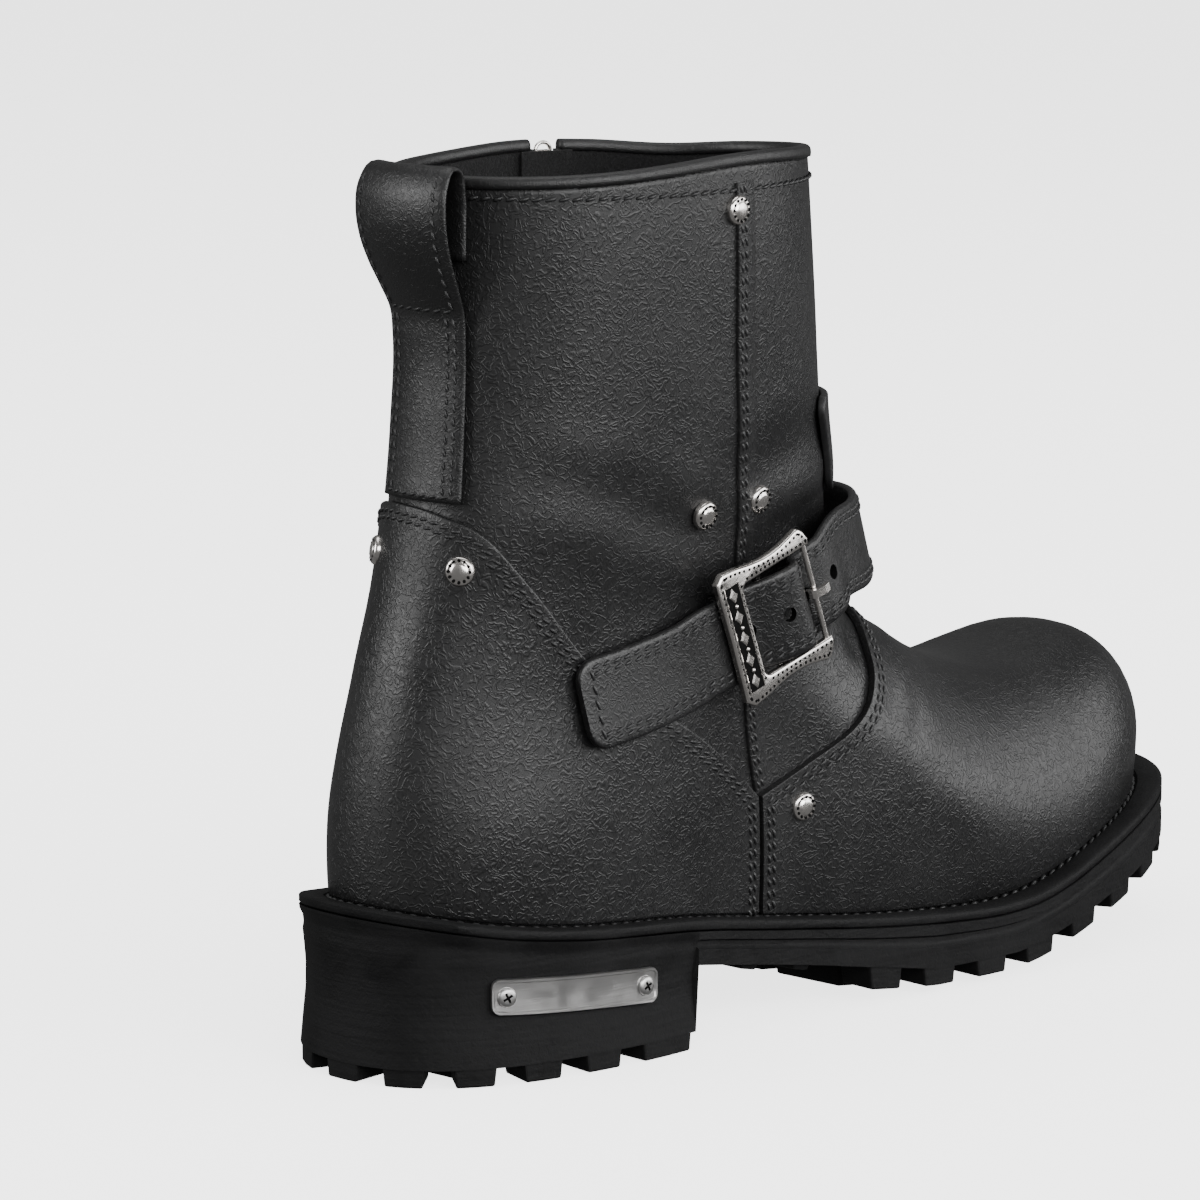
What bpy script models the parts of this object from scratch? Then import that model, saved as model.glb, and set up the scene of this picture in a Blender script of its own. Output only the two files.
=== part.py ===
"""A right-foot engineer boot: black leather upper on a lug sole, with strap, buckle, zip and rivets.

Metres, +Z up, +X towards the toe, -Y the outer side. The origin is on the floor under the middle of the heel.
"""

from math import cos, pi, radians, sin

import bmesh
import bpy
import numpy as np
from mathutils import Matrix, Vector

# Clearance that touching pieces keep, and the walls
GAP = 0.0003
WALL = 0.0024
FIT = 0.0004
VAMP_THICKNESS = 0.0016
COUNTER_THICKNESS = 0.0013
BINDING_HEIGHT = 0.0022
BINDING_PROUD = 0.0006

# Foot and shaft
UPPER_LENGTH = 0.2870
HEEL_REACH = 0.0365
BALL_WIDTH = 0.0925
TOE_HEIGHT = 0.0885
SHAFT_HEIGHT = 0.2265
SHAFT_DEPTH = 0.1170
SHAFT_WIDTH = 0.0875
INSTEP_BLEND = 0.0340
FEATHER_DRAW = 0.0030
WIDEST_ALONG = 0.70
TOE_TIP_INWARD = 0.0015

# Sole
RIM_HEIGHT = 0.0450
TOE_SPRING = 0.0215
LUG_DEPTH = 0.0047
WAIST_LUG_DEPTH = 0.0016
WAIST_HEIGHT = 0.0220
BREAST_X = 0.0400
SOLE_EDGE = 0.0112
SIDE_STEP = 0.0016
EDGE_LIFT = 0.0022
TREAD_SETTLE = 0.0003
WELT_THICKNESS = 0.0030
INSOLE_THICKNESS = 0.0035
LUG_REACH = 0.0130
LUG_LENGTH = 0.0116
LUG_DRAFT = 0.0007
BREAST_LUG_LENGTH = 0.0180
HEEL_LUGS = 11
FORE_LUGS = 19
FORE_LUG_START = 0.1050
WAIST_LUGS = (0.0630, 0.0830)

# Heel plate on the outer side. PLATE_FRONT_X is where its front end comes.
PLATE_FRONT_X = 0.0243
PLATE_LENGTH = 0.0555
PLATE_HEIGHT = 0.0092
PLATE_THICKNESS = 0.0012
PLATE_CORNER = 0.0012
PLATE_CLEARANCE = 0.0006
PLATE_Z = 0.0213
PLATE_SLOPE = 0.062
PLATE_SCREW_SPACING = 0.0445
PLATE_SCREW_DIAMETER = 0.0052
PLATE_SCREW_HEIGHT = 0.0011

# Strap, and the leather fold that holds the buckle
STRAP_WIDTH = 0.0235
STRAP_THICKNESS = 0.0022
STRAP_STANDOFF = 0.0100
STRAP_HUMP = 0.0046
STRAP_HOLE = 0.0039
STRAP_HOLE_SPACING = 0.0118
CHAPE_WIDTH = 0.0150
CHAPE_LENGTH = 0.0160
CHAPE_THICKNESS = 0.0012

# Buckle. BAR_ALONG, ROD_ALONG and PRONG_HOLE are shares of BUCKLE_LENGTH from its middle to the front.
BUCKLE_LENGTH = 0.0330
BUCKLE_HEIGHT = 0.0372
BUCKLE_THICKNESS = 0.0026
BUCKLE_OPENING = 0.0258
BUCKLE_SIDE = 0.0083
BUCKLE_ROD = 0.0016
BUCKLE_BAR = 0.0020
BUCKLE_AZIMUTH = -88.2
BUCKLE_Z = 0.1100
BUCKLE_FACING = radians(-94.0)
BUCKLE_PITCH = radians(19.4)
BUCKLE_RISE = 0.0086
BAR_RISE = 0.0042
BAR_ALONG = 0.03
ROD_ALONG = 0.455
PRONG_HOLE = 0.402
PRONG_WIDTH = 0.0022
PRONG_THICKNESS = 0.0012

# Pull loop at the back
LOOP_WIDTH = 0.0280
LOOP_THICKNESS = 0.0014
LOOP_BULGE = 0.0105
LOOP_AZIMUTH = -177.3

# Rivets and front plate
RIVET_DIAMETER = 0.0076
RIVET_HEIGHT = 0.0018
FACET_SAG = 0.0006
FRONT_PLATE_WIDTH = 0.0760
FRONT_PLATE_HEIGHT = 0.0260
FRONT_PLATE_THICKNESS = 0.0014
FRONT_PLATE_Z = 0.1500
FRONT_AZIMUTH = -8.0

# Zip on the inner side. ZIP_SLIDER_PROUD: how far the slider stands out of the leather.
ZIP_X = 0.0610
ZIP_SLOT = 0.0072
ZIP_END_Z = 0.1260
ZIP_TAPE_WIDTH = 0.0160
ZIP_TAPE_THICKNESS = 0.0006
ZIP_TAPE_CLEARANCE = 0.0006
ZIP_TEETH_WIDTH = 0.0042
ZIP_TEETH_THICKNESS = 0.0014
ZIP_SLIDER_WIDTH = 0.0054
ZIP_SLIDER_LENGTH = 0.0090
ZIP_SLIDER_PROUD = 0.0003
BAIL_WIDTH = 0.0014
BAIL_BAR = 0.0010
BAIL_RISE = 0.0024
BAIL_REACH = 0.0032
ZIP_PULL_WIDTH = 0.0040
ZIP_PULL_LENGTH = 0.0180
PULL_THICKNESS = 0.0010
PULL_WINDOW = 0.0045
PULL_PLAY = 0.0004

# Foot form. along: share of UPPER_LENGTH from the heel back. outer, inner, round, crown: shares of
# BALL_WIDTH. top: share of TOE_HEIGHT. crown is how far the top falls at the ball's half width.
FOOT_COLUMNS = ("along", "outer", "inner", "top", "round", "crown")
FOOT_ROWS = (
    (0.06, 0.20, 0.20, 0.89, 0.22, 0.04),
    (0.23, 0.26, 0.26, 1.23, 0.28, 0.06),
    (0.37, 0.35, 0.305, 1.38, 0.35, 0.11),
    (0.475, 0.43, 0.365, 1.29, 0.36, 0.15),
    (0.58, 0.465, 0.42, 1.12, 0.36, 0.18),
    (0.65, 0.485, 0.455, 0.995, 0.36, 0.19),
    (0.72, 0.49, 0.485, 0.91, 0.36, 0.17),
    (0.79, 0.485, 0.495, 0.875, 0.36, 0.14),
    (0.86, 0.475, 0.495, 0.895, 0.34, 0.09),
    (0.925, 0.465, 0.495, 0.935, 0.32, 0.04),
    (1.0, 0.45, 0.48, 0.945, 0.30, 0.01),
)

# Heel and shaft form. up: share of SHAFT_HEIGHT. back, front: shares of SHAFT_DEPTH.
# outer, inner: shares of SHAFT_WIDTH. square: the exponent of the section.
SHAFT_COLUMNS = ("up", "back", "front", "outer", "inner", "square")
SHAFT_ROWS = (
    (0.09, -0.267, 0.60, -0.357, 0.345, 2.3),
    (0.20, -0.301, 0.60, -0.392, 0.369, 2.3),
    (0.265, -0.305, 0.64, -0.404, 0.369, 2.3),
    (0.353, -0.295, 0.725, -0.406, 0.347, 2.3),
    (0.442, -0.264, 0.855, -0.424, 0.337, 2.3),
    (0.53, -0.226, 0.965, -0.463, 0.332, 2.3),
    (0.618, -0.196, 0.960, -0.514, 0.340, 2.3),
    (0.706, -0.174, 0.922, -0.549, 0.363, 2.25),
    (0.817, -0.162, 0.895, -0.577, 0.386, 2.2),
    (0.927, -0.158, 0.867, -0.592, 0.404, 2.2),
    (1.06, -0.150, 0.840, -0.590, 0.397, 2.2),
)

# Sole heights. along: share of UPPER_LENGTH from the heel back. rim: share of RIM_HEIGHT.
# tread: share of TOE_SPRING. edge: how far the rim stands out, share of SOLE_EDGE.
SOLE_COLUMNS = ("along", "rim", "tread", "edge")
SOLE_ROWS = (
    (-0.03, 1.000, 0.00, 0.97),
    (0.06, 0.884, 0.00, 0.74),
    (0.13, 0.827, 0.00, 0.62),
    (0.25, 0.762, 0.00, 0.62),
    (0.40, 0.615, 0.30, 0.70),
    (0.50, 0.535, 0.12, 0.76),
    (0.60, 0.478, 0.00, 0.84),
    (0.67, 0.462, 0.00, 0.86),
    (0.71, 0.478, 0.06, 0.85),
    (0.76, 0.545, 0.20, 0.80),
    (0.81, 0.640, 0.37, 0.76),
    (0.88, 0.765, 0.60, 0.80),
    (0.94, 0.860, 0.79, 0.90),
    (1.04, 0.960, 1.00, 1.00),
)

# Side of the sole from the welt down, at the heel and in front of it. down: share of the side's height.
# inset: share of SIDE_STEP.
SIDE_COLUMNS = ("heel down", "heel inset", "fore down", "fore inset")
SIDE_ROWS = (
    (0.00, 0.00, 0.00, 0.00),
    (0.20, 0.62, 0.26, 0.00),
    (0.40, 1.00, 0.34, 0.70),
    (0.60, 0.95, 0.42, 0.70),
    (0.80, 0.50, 0.50, 0.00),
    (1.00, 0.10, 1.00, 0.00),
)

# Collar height above or below SHAFT_HEIGHT by azimuth in degrees, in shares of WAVE
WAVE = 0.0030
COLLAR_ROWS = (
    (-180, -0.40), (-150, -0.15), (-111, 0.90), (-69, 0.70), (-30, 0.25), (0, -0.10),
    (30, -0.45), (70, 0.00), (109, 0.20), (145, -0.30), (180, -0.40),
)

# Upper edges of the counter and of the vamp by azimuth in degrees, in shares of SHAFT_HEIGHT
COUNTER_ROWS = (
    (-274.4, 0.280), (-260, 0.288), (-240, 0.340), (-225, 0.400), (-212, 0.470), (-204, 0.545), (-196, 0.605),
    (-188, 0.628), (-180, 0.632), (-171, 0.624), (-163, 0.600), (-157, 0.545), (-150, 0.470),
    (-137, 0.410), (-119, 0.362), (-104, 0.326), (-91, 0.296), (-79.6, 0.270),
)
VAMP_ROWS = (
    (-78, 0.270), (-66, 0.282), (-56, 0.297), (-47, 0.318), (-40, 0.344), (-33, 0.378),
    (-27, 0.408), (-18, 0.436), (-6, 0.448), (8, 0.440), (20, 0.415), (30, 0.380),
    (40, 0.345), (52, 0.318), (66, 0.296), (84, 0.280),
)
JUNCTION_SHEAR = 9.0

# Strap from its inner end round the front to the buckle, and behind the buckle to its free end.
# azimuth in degrees, up: middle height, share of SHAFT_HEIGHT, off: clear height over the leather, share of
# STRAP_STANDOFF, lean: degrees that its face looks up
STRAP_COLUMNS = ("azimuth", "up", "off", "lean")
STRAP_ROWS = (
    (124, 0.414, 0.28, 4),
    (108, 0.440, 0.22, 4),
    (88, 0.470, 0.20, 5),
    (68, 0.494, 0.20, 7),
    (48, 0.511, 0.30, 9),
    (30, 0.526, 0.46, 12),
    (10, 0.541, 0.64, 14),
    (-8, 0.547, 0.69, 14),
    (-24, 0.548, 0.68, 13),
    (-40, 0.544, 0.64, 10),
    (-54, 0.537, 0.58, 6),
)
# Strap through the buckle from the front, under the rod, in a hump over the bar and under the rear side.
# along: share of BUCKLE_LENGTH, rise: share of STRAP_HUMP, low: share of STRAP_WIDTH
PASS_COLUMNS = ("along", "rise", "low")
BUCKLE_PASS_ROWS = (
    (0.68, -0.04, 0.00),
    (0.54, 0.00, 0.01),
    (0.44, 0.00, 0.02),
    (0.385, 0.03, 0.02),
    (0.35, 0.22, 0.03),
    (0.32, 0.62, 0.03),
    (0.28, 0.92, 0.03),
    (0.20, 1.00, 0.03),
    (0.10, 0.90, 0.03),
    (-0.02, 0.62, 0.03),
    (-0.12, 0.32, 0.03),
    (-0.20, 0.10, 0.03),
    (-0.28, 0.00, 0.03),
    (-0.50, 0.00, 0.02),
    (-0.66, 0.02, 0.00),
)
FREE_END_ROWS = (
    (-122, 0.442, 0.27, 0),
    (-136, 0.425, 0.27, 3),
    (-148, 0.410, 0.29, 6),
)

# Buckle frame, its upper half from the middle of the rear side to the front tip. along: share of
# BUCKLE_LENGTH, up: share of BUCKLE_HEIGHT
BUCKLE_EDGE = (
    (-0.490, 0.0), (-0.495, 0.25), (-0.500, 0.445), (-0.425, 0.500), (-0.290, 0.487), (-0.130, 0.459),
    (0.035, 0.444), (0.200, 0.455), (0.335, 0.482), (0.415, 0.497), (0.465, 0.460), (0.500, 0.400),
    (0.492, 0.350),
)

# Pull loop from its sewn foot up, out into the loop and down behind itself.
# off: share of LOOP_BULGE, up: share of SHAFT_HEIGHT
LOOP_COLUMNS = ("off", "up")
LOOP_ROWS = (
    (0.03, 0.640), (0.03, 0.720), (0.03, 0.815), (0.10, 0.845), (0.36, 0.872), (0.64, 0.898),
    (0.88, 0.928), (0.98, 0.956), (0.92, 0.985), (0.62, 1.005), (0.30, 1.003), (0.06, 0.975),
    (0.03, 0.940), (0.03, 0.905),
)

# Rivets. azimuth in degrees, up: share of SHAFT_HEIGHT, cover: what lies over the upper there, or how far
# the middle of one of its facets sinks
RIVET_COLUMNS = ("name", "azimuth", "up", "cover")
RIVET_ROWS = (
    ("shaft_top", -109.3, 0.9505, -FACET_SAG),
    ("shaft_rear", -116.6, 0.6097, 0),
    ("shaft_front", -91.3, 0.6177, 0),
    ("counter_outer", -167.5, 0.5669, COUNTER_THICKNESS),
    ("counter_inner", 172.2, 0.5740, COUNTER_THICKNESS),
    ("vamp_outer", -56.7, 0.2486, VAMP_THICKNESS),
    ("vamp_inner", 56.7, 0.2486, VAMP_THICKNESS),
)

# Front plate from its lower edge up. up: share of FRONT_PLATE_HEIGHT from its middle,
# wide: share of FRONT_PLATE_WIDTH
FRONT_PLATE_ROWS = ((-0.5, 0.62), (-0.42, 0.70), (-0.14, 0.82), (0.14, 0.92), (0.42, 0.99), (0.5, 0.95))

# Zip pull in its own plane, from its hinge end down. across: share of half ZIP_PULL_WIDTH,
# down: share of ZIP_PULL_LENGTH
PULL_EDGE = (
    (-0.75, 0.0), (-1.0, -0.03), (-1.0, -0.35), (-0.72, -0.48), (-0.72, -0.70), (-1.0, -0.82),
    (-0.92, -0.94), (-0.5, -1.0), (0.5, -1.0), (0.92, -0.94), (1.0, -0.82), (0.72, -0.70),
    (0.72, -0.48), (1.0, -0.35), (1.0, -0.03), (0.75, 0.0),
)

PIVOT = Vector((0.0620, -0.0020, 0.0520))


def smooth_curve(x, rows, column):
    """Value of one column at x, through the rows with Catmull-Rom slopes."""
    table = np.asarray(rows, float)
    xs, ys = table[:, 0], table[:, column]
    x = np.clip(x, xs[0], xs[-1])
    slopes = np.gradient(ys, xs)
    i = np.clip(np.searchsorted(xs, x, side="right") - 1, 0, len(xs) - 2)
    span = xs[i + 1] - xs[i]
    t = (x - xs[i]) / span
    return (
        (2 * t**3 - 3 * t**2 + 1) * ys[i]
        + (t**3 - 2 * t**2 + t) * span * slopes[i]
        + (3 * t**2 - 2 * t**3) * ys[i + 1]
        + (t**3 - t**2) * span * slopes[i + 1]
    )


def along(x):
    """Share of the upper's length at x."""
    return (x + HEEL_REACH) / UPPER_LENGTH


def rounded_distance(across, out, power, reach, half):
    """Signed distance, near enough, to a superellipse with the half axes reach and half."""
    ratio = (across**power + out**power) ** (1 / power)
    straight = np.sqrt(across**2 + out**2) + 1e-9
    scale = np.sqrt((across * reach) ** 2 + (out * half) ** 2) / straight
    return (ratio - 1) * scale


def foot_distance(x, y, z):
    s = along(x)
    outer, inner, top, rounding, crown = (smooth_curve(s, FOOT_ROWS, k) for k in range(1, 6))
    outer, inner, rounding, crown = (v * BALL_WIDTH for v in (outer, inner, rounding, crown))
    widest_x = WIDEST_ALONG * UPPER_LENGTH - HEEL_REACH
    toe_reach = UPPER_LENGTH - HEEL_REACH - widest_x
    heel_x = 0.23 * UPPER_LENGTH - HEEL_REACH
    front = np.clip((x - widest_x) / toe_reach, 0, None)
    rear = np.clip((heel_x - x) / (0.14 * UPPER_LENGTH), 0, None)
    middle = (inner - outer) / 2 + TOE_TIP_INWARD * np.clip(front, 0, 1.2) ** 2
    half = (inner + outer) / 2
    is_front = x > widest_x
    plan = rounded_distance(
        np.where(is_front, front, rear),
        np.abs(y - middle) / half,
        np.where(is_front, 2.35, 2.3),
        np.where(is_front, toe_reach, 0.14 * UPPER_LENGTH),
        half,
    )
    wall_height = 0.65 * TOE_HEIGHT
    plan = plan + FEATHER_DRAW * np.clip((wall_height - z) / (0.32 * TOE_HEIGHT), 0, 1.5) ** 2
    over = z - top * TOE_HEIGHT + crown * ((y - middle) / (BALL_WIDTH / 2)) ** 2
    a, b = plan + rounding, over + rounding
    corner = np.sqrt(np.maximum(a, 0) ** 2 + np.maximum(b, 0) ** 2)
    return corner + np.minimum(np.maximum(a, b), 0) - rounding


def shaft_distance(x, y, z):
    s = z / SHAFT_HEIGHT
    back, front, outer, inner, square = (smooth_curve(s, SHAFT_ROWS, k) for k in range(1, 6))
    reach = (front - back) / 2 * SHAFT_DEPTH
    half = (inner - outer) / 2 * SHAFT_WIDTH
    middle_x = (front + back) / 2 * SHAFT_DEPTH
    middle_y = (inner + outer) / 2 * SHAFT_WIDTH
    return rounded_distance(
        np.abs(x - middle_x) / reach, np.abs(y - middle_y) / half, square, reach, half
    )


def boot_distance(x, y, z):
    """Signed distance, near enough, to the outside of the upper: foot and shaft blended."""
    foot, shaft = foot_distance(x, y, z), shaft_distance(x, y, z)
    near = np.clip(INSTEP_BLEND - np.abs(foot - shaft), 0, None) / INSTEP_BLEND
    return np.minimum(foot, shaft) - near**2 * INSTEP_BLEND / 4


def distance_at(points):
    return boot_distance(points[..., 0], points[..., 1], points[..., 2])


def normals_at(points, step=0.0004):
    grad = np.stack(
        [distance_at(points + step * axis) - distance_at(points - step * axis) for axis in np.eye(3)],
        -1,
    )
    return grad / np.linalg.norm(grad, axis=-1, keepdims=True)


def cast(directions, reach=0.26, steps=46):
    """Points where rays from the pivot leave the upper's form."""
    origin = np.array(PIVOT)
    low = np.zeros(directions.shape[:-1])
    high = np.full_like(low, reach)
    found = np.zeros(low.shape, bool)
    before = 0.0
    for t in np.linspace(0, reach, steps)[1:]:
        outside = distance_at(origin + directions * t) > 0
        new = outside & ~found
        low = np.where(new, before, low)
        high = np.where(new, t, high)
        found |= outside
        before = t
    for _ in range(18):
        middle = (low + high) / 2
        outside = distance_at(origin + directions * middle[..., None]) > 0
        high = np.where(outside, middle, high)
        low = np.where(outside, low, middle)
    return origin + directions * low[..., None]


def directions_at(azimuths, elevations):
    return np.stack(
        [
            np.cos(azimuths) * np.cos(elevations),
            np.sin(azimuths) * np.cos(elevations),
            np.sin(elevations) + 0 * azimuths,
        ],
        -1,
    )


# The upper's outside as lines from under the feather to over the collar, one for each azimuth
MAP_AZIMUTHS = np.linspace(-pi, pi, 361)
MAP_ELEVATIONS = np.linspace(radians(-30), radians(87), 240)
SURFACE = cast(directions_at(*np.meshgrid(MAP_AZIMUTHS, MAP_ELEVATIONS, indexing="ij")))


def column_at(azimuth):
    """The line up the outside at one azimuth in radians."""
    turn = (azimuth + pi) % (2 * pi)
    place_in = turn / (2 * pi) * (len(MAP_AZIMUTHS) - 1)
    i = min(int(place_in), len(MAP_AZIMUTHS) - 2)
    w = place_in - i
    return SURFACE[i] * (1 - w) + SURFACE[i + 1] * w


def surface_at(azimuth, height):
    """The point of the outside at an azimuth in degrees and a height."""
    line = column_at(radians(azimuth))
    k = int(np.argmax(line[:, 2] > height))
    w = (height - line[k - 1, 2]) / (line[k, 2] - line[k - 1, 2])
    return line[k - 1] + w * (line[k] - line[k - 1])


def even_azimuths(count):
    """Azimuths from the back round the outer side that space columns evenly along the feather line."""
    foot = SURFACE[:, 45]
    run = np.r_[0, np.cumsum(np.linalg.norm(np.diff(foot, axis=0), axis=1))]
    return np.interp(np.linspace(0, run[-1], count + 1)[:-1], run, MAP_AZIMUTHS)


# Columns and levels that the upper shares with the pieces laid over it
UPPER_AZIMUTHS = even_azimuths(54)
OVERLAY_LEVELS = 9
SHAFT_LEVELS = 7


def rim_height(x):
    return smooth_curve(along(x), SOLE_ROWS, 1) * RIM_HEIGHT


def tread_height(x):
    """Height of the tread, level with the floor where it comes within TREAD_SETTLE of it."""
    return np.clip(smooth_curve(along(x), SOLE_ROWS, 2) * TOE_SPRING - TREAD_SETTLE, 0, None)


def seat_height(x):
    """Top of the outsole inside the welt."""
    return rim_height(x) - WELT_THICKNESS


def feather_height(x):
    """Bottom edge of the upper, just over the outsole."""
    return seat_height(x) + FIT


def overlay_foot_height(x):
    """Bottom edge of the vamp and the counter, just over the welt."""
    return rim_height(x) + FIT


def collar_height(azimuths):
    degrees = (np.degrees(azimuths) + 180) % 360 - 180
    return SHAFT_HEIGHT + WAVE * smooth_curve(degrees, COLLAR_ROWS, 1)


def wall_top(azimuths):
    return collar_height(azimuths) - BINDING_HEIGHT - GAP


def cut_column(line, bottom, top, rows):
    """The stretch of a line between two height functions, in rows evenly spaced points."""
    above = line[:, 2] - bottom(line[:, 0])
    k = int(np.argmax(above > 0))
    w = -above[k - 1] / (above[k] - above[k - 1])
    first = line[k - 1] + w * (line[k] - line[k - 1])
    m = int(np.argmax(line[:, 2] > top))
    w = (top - line[m - 1, 2]) / (line[m, 2] - line[m - 1, 2])
    last = line[m - 1] + w * (line[m] - line[m - 1])
    kept = np.vstack([first, line[k:m], last])
    run = np.r_[0, np.cumsum(np.linalg.norm(np.diff(kept, axis=0), axis=1))]
    marks = np.linspace(0, run[-1], rows)
    return np.stack([np.interp(marks, run, kept[:, i]) for i in range(3)], 1)


def edge_reach(x):
    return smooth_curve(along(x), SOLE_ROWS, 3) * SOLE_EDGE


# Scene helpers


def clear_scene():
    for obj in list(bpy.data.objects):
        bpy.data.objects.remove(obj, do_unlink=True)


def new_collection(name):
    made = bpy.data.collections.new(name)
    bpy.context.scene.collection.children.link(made)
    return made


def material(name, colour, roughness, metallic=0.0):
    made = bpy.data.materials.new(name)
    made.use_nodes = True
    shader = made.node_tree.nodes["Principled BSDF"]
    shader.inputs["Base Color"].default_value = (*colour, 1.0)
    shader.inputs["Roughness"].default_value = roughness
    shader.inputs["Metallic"].default_value = metallic
    return made


def add_mesh(name, points, faces, look, smooth=True):
    mesh = bpy.data.meshes.new(name)
    mesh.from_pydata([tuple(p) for p in points], [], faces)
    mesh.validate()
    solid = bmesh.new()
    solid.from_mesh(mesh)
    bmesh.ops.remove_doubles(solid, verts=solid.verts, dist=0.00001)
    bmesh.ops.recalc_face_normals(solid, faces=solid.faces)
    solid.to_mesh(mesh)
    solid.free()
    if smooth:
        mesh.shade_smooth()
    mesh.materials.append(look)
    obj = bpy.data.objects.new(name, mesh)
    BOOT.objects.link(obj)
    return obj


def grid_faces(columns, rows, wrap):
    """Triangles over points stored column by column, split the same way in every piece."""
    faces = []
    for i in range(columns if wrap else columns - 1):
        j = (i + 1) % columns
        for k in range(rows - 1):
            low, high = (i * rows + k, j * rows + k), (i * rows + k + 1, j * rows + k + 1)
            faces += [(low[0], low[1], high[1]), (low[0], high[1], high[0])]
    return faces


def loft(name, sections, look, closed=False, smooth=True):
    """A closed solid through sections of equal point count, capped unless it is a ring."""
    count, size = len(sections), len(sections[0])
    points = np.vstack(sections)
    faces = []
    for i in range(count if closed else count - 1):
        j = (i + 1) % count
        for k in range(size):
            m = (k + 1) % size
            faces.append((i * size + k, j * size + k, j * size + m, i * size + m))
    if not closed:
        faces.append(tuple(range(size)))
        faces.append(tuple(range((count - 1) * size, count * size)))
    return add_mesh(name, points, faces, look, smooth)


def solidify(obj, thickness, offset):
    shell = obj.modifiers.new("Wall", "SOLIDIFY")
    shell.thickness = thickness
    shell.offset = offset
    shell.use_even_offset = True
    shell.use_quality_normals = True
    return shell


def cutter(obj):
    BOOT.objects.unlink(obj)
    CUTTERS.objects.link(obj)
    obj.hide_render = True
    obj.display_type = "WIRE"
    return obj


def boolean(obj, other, operation, crossing=False):
    """crossing: the other mesh holds blocks that run into each other."""
    change = obj.modifiers.new(other.name, "BOOLEAN")
    change.operation = operation
    change.use_self = crossing
    change.object = cutter(other)
    return change


def place(obj, origin, axis_x, axis_z):
    """Turns an object built about its own origin to the given axes and moves it."""
    z = Vector(axis_z).normalized()
    x = (Vector(axis_x) - z * Vector(axis_x).dot(z)).normalized()
    y = z.cross(x)
    turn = Matrix((x, y, z)).transposed().to_4x4()
    obj.matrix_world = Matrix.Translation(Vector(origin)) @ turn
    return obj


def turned(name, profile, look, steps=16):
    """A solid of revolution about Z through (radius, height) points from top to bottom."""
    mesh = bpy.data.meshes.new(name)
    points = [(r, 0.0, h) for r, h in profile]
    mesh.from_pydata(points, [(i, i + 1) for i in range(len(points) - 1)], [])
    mesh.materials.append(look)
    obj = bpy.data.objects.new(name, mesh)
    BOOT.objects.link(obj)
    screw = obj.modifiers.new("Turn", "SCREW")
    screw.steps = steps
    screw.render_steps = steps
    screw.use_merge_vertices = True
    screw.merge_threshold = 0.00001
    screw.use_smooth_shade = True
    return obj


def ribbon(name, path, faces_out, width, thickness, look, round_ends=(False, False)):
    """A flat band along a path of centre points, whose face looks along faces_out."""
    path = np.asarray(path)
    ahead = np.gradient(path, axis=0)
    ahead /= np.linalg.norm(ahead, axis=1, keepdims=True)
    out = faces_out - ahead * np.sum(faces_out * ahead, axis=1, keepdims=True)
    out /= np.linalg.norm(out, axis=1, keepdims=True)
    side = np.cross(out, ahead)
    run = np.r_[0, np.cumsum(np.linalg.norm(np.diff(path, axis=0), axis=1))]
    corner = width * 0.30
    sections = []
    for i, centre in enumerate(path):
        half = width / 2
        for end, here in ((round_ends[0], run[i]), (round_ends[1], run[-1] - run[i])):
            if end and here < corner:
                half -= corner - (corner**2 - (corner - here) ** 2) ** 0.5
        across, deep = side[i] * half, out[i] * thickness / 2
        low, high = centre - across, centre + across
        sections.append(np.array([low - deep, high - deep, high + deep, low + deep]))
    return loft(name, sections, look, smooth=False)


def smooth_path(points, spacing):
    """Evenly spaced points on a smooth curve through the given ones."""
    points = np.asarray(points, float)
    run = np.r_[0, np.cumsum(np.linalg.norm(np.diff(points[:, :3], axis=0), axis=1))]
    fine = np.linspace(0, run[-1], 600)
    rows = np.column_stack([run, points])
    line = np.stack([smooth_curve(fine, rows, k) for k in range(1, points.shape[1] + 1)], 1)
    length = np.r_[0, np.cumsum(np.linalg.norm(np.diff(line[:, :3], axis=0), axis=1))]
    marks = np.linspace(0, length[-1], max(3, int(round(length[-1] / spacing)) + 1))
    return np.stack([np.interp(marks, length, line[:, k]) for k in range(line.shape[1])], 1)


def overlay_edge(degrees):
    """Height of the upper edge of the counter and the vamp at an azimuth."""
    turned_back = degrees - 360 if degrees > VAMP_ROWS[-1][0] + 0.5 else degrees
    return SHAFT_HEIGHT * smooth_curve(turned_back, COUNTER_ROWS + VAMP_ROWS, 1)


def overlay_column(azimuth, edge):
    """Points up the outside from the welt to the overlays' upper edge."""
    return cut_column(column_at(azimuth), overlay_foot_height, edge, OVERLAY_LEVELS)


def upper_column(azimuth):
    """Points up the outside from the feather line to the rim, in step with the overlays."""
    line = column_at(azimuth)
    edge = float(overlay_edge(np.degrees(azimuth)))
    foot = cut_column(line, feather_height, edge, 2)[:1]
    shaft = cut_column(line, lambda x: edge + 0 * x, float(wall_top(azimuth)), SHAFT_LEVELS)
    return np.vstack([foot, overlay_column(azimuth, edge), shaft[1:]])


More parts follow.
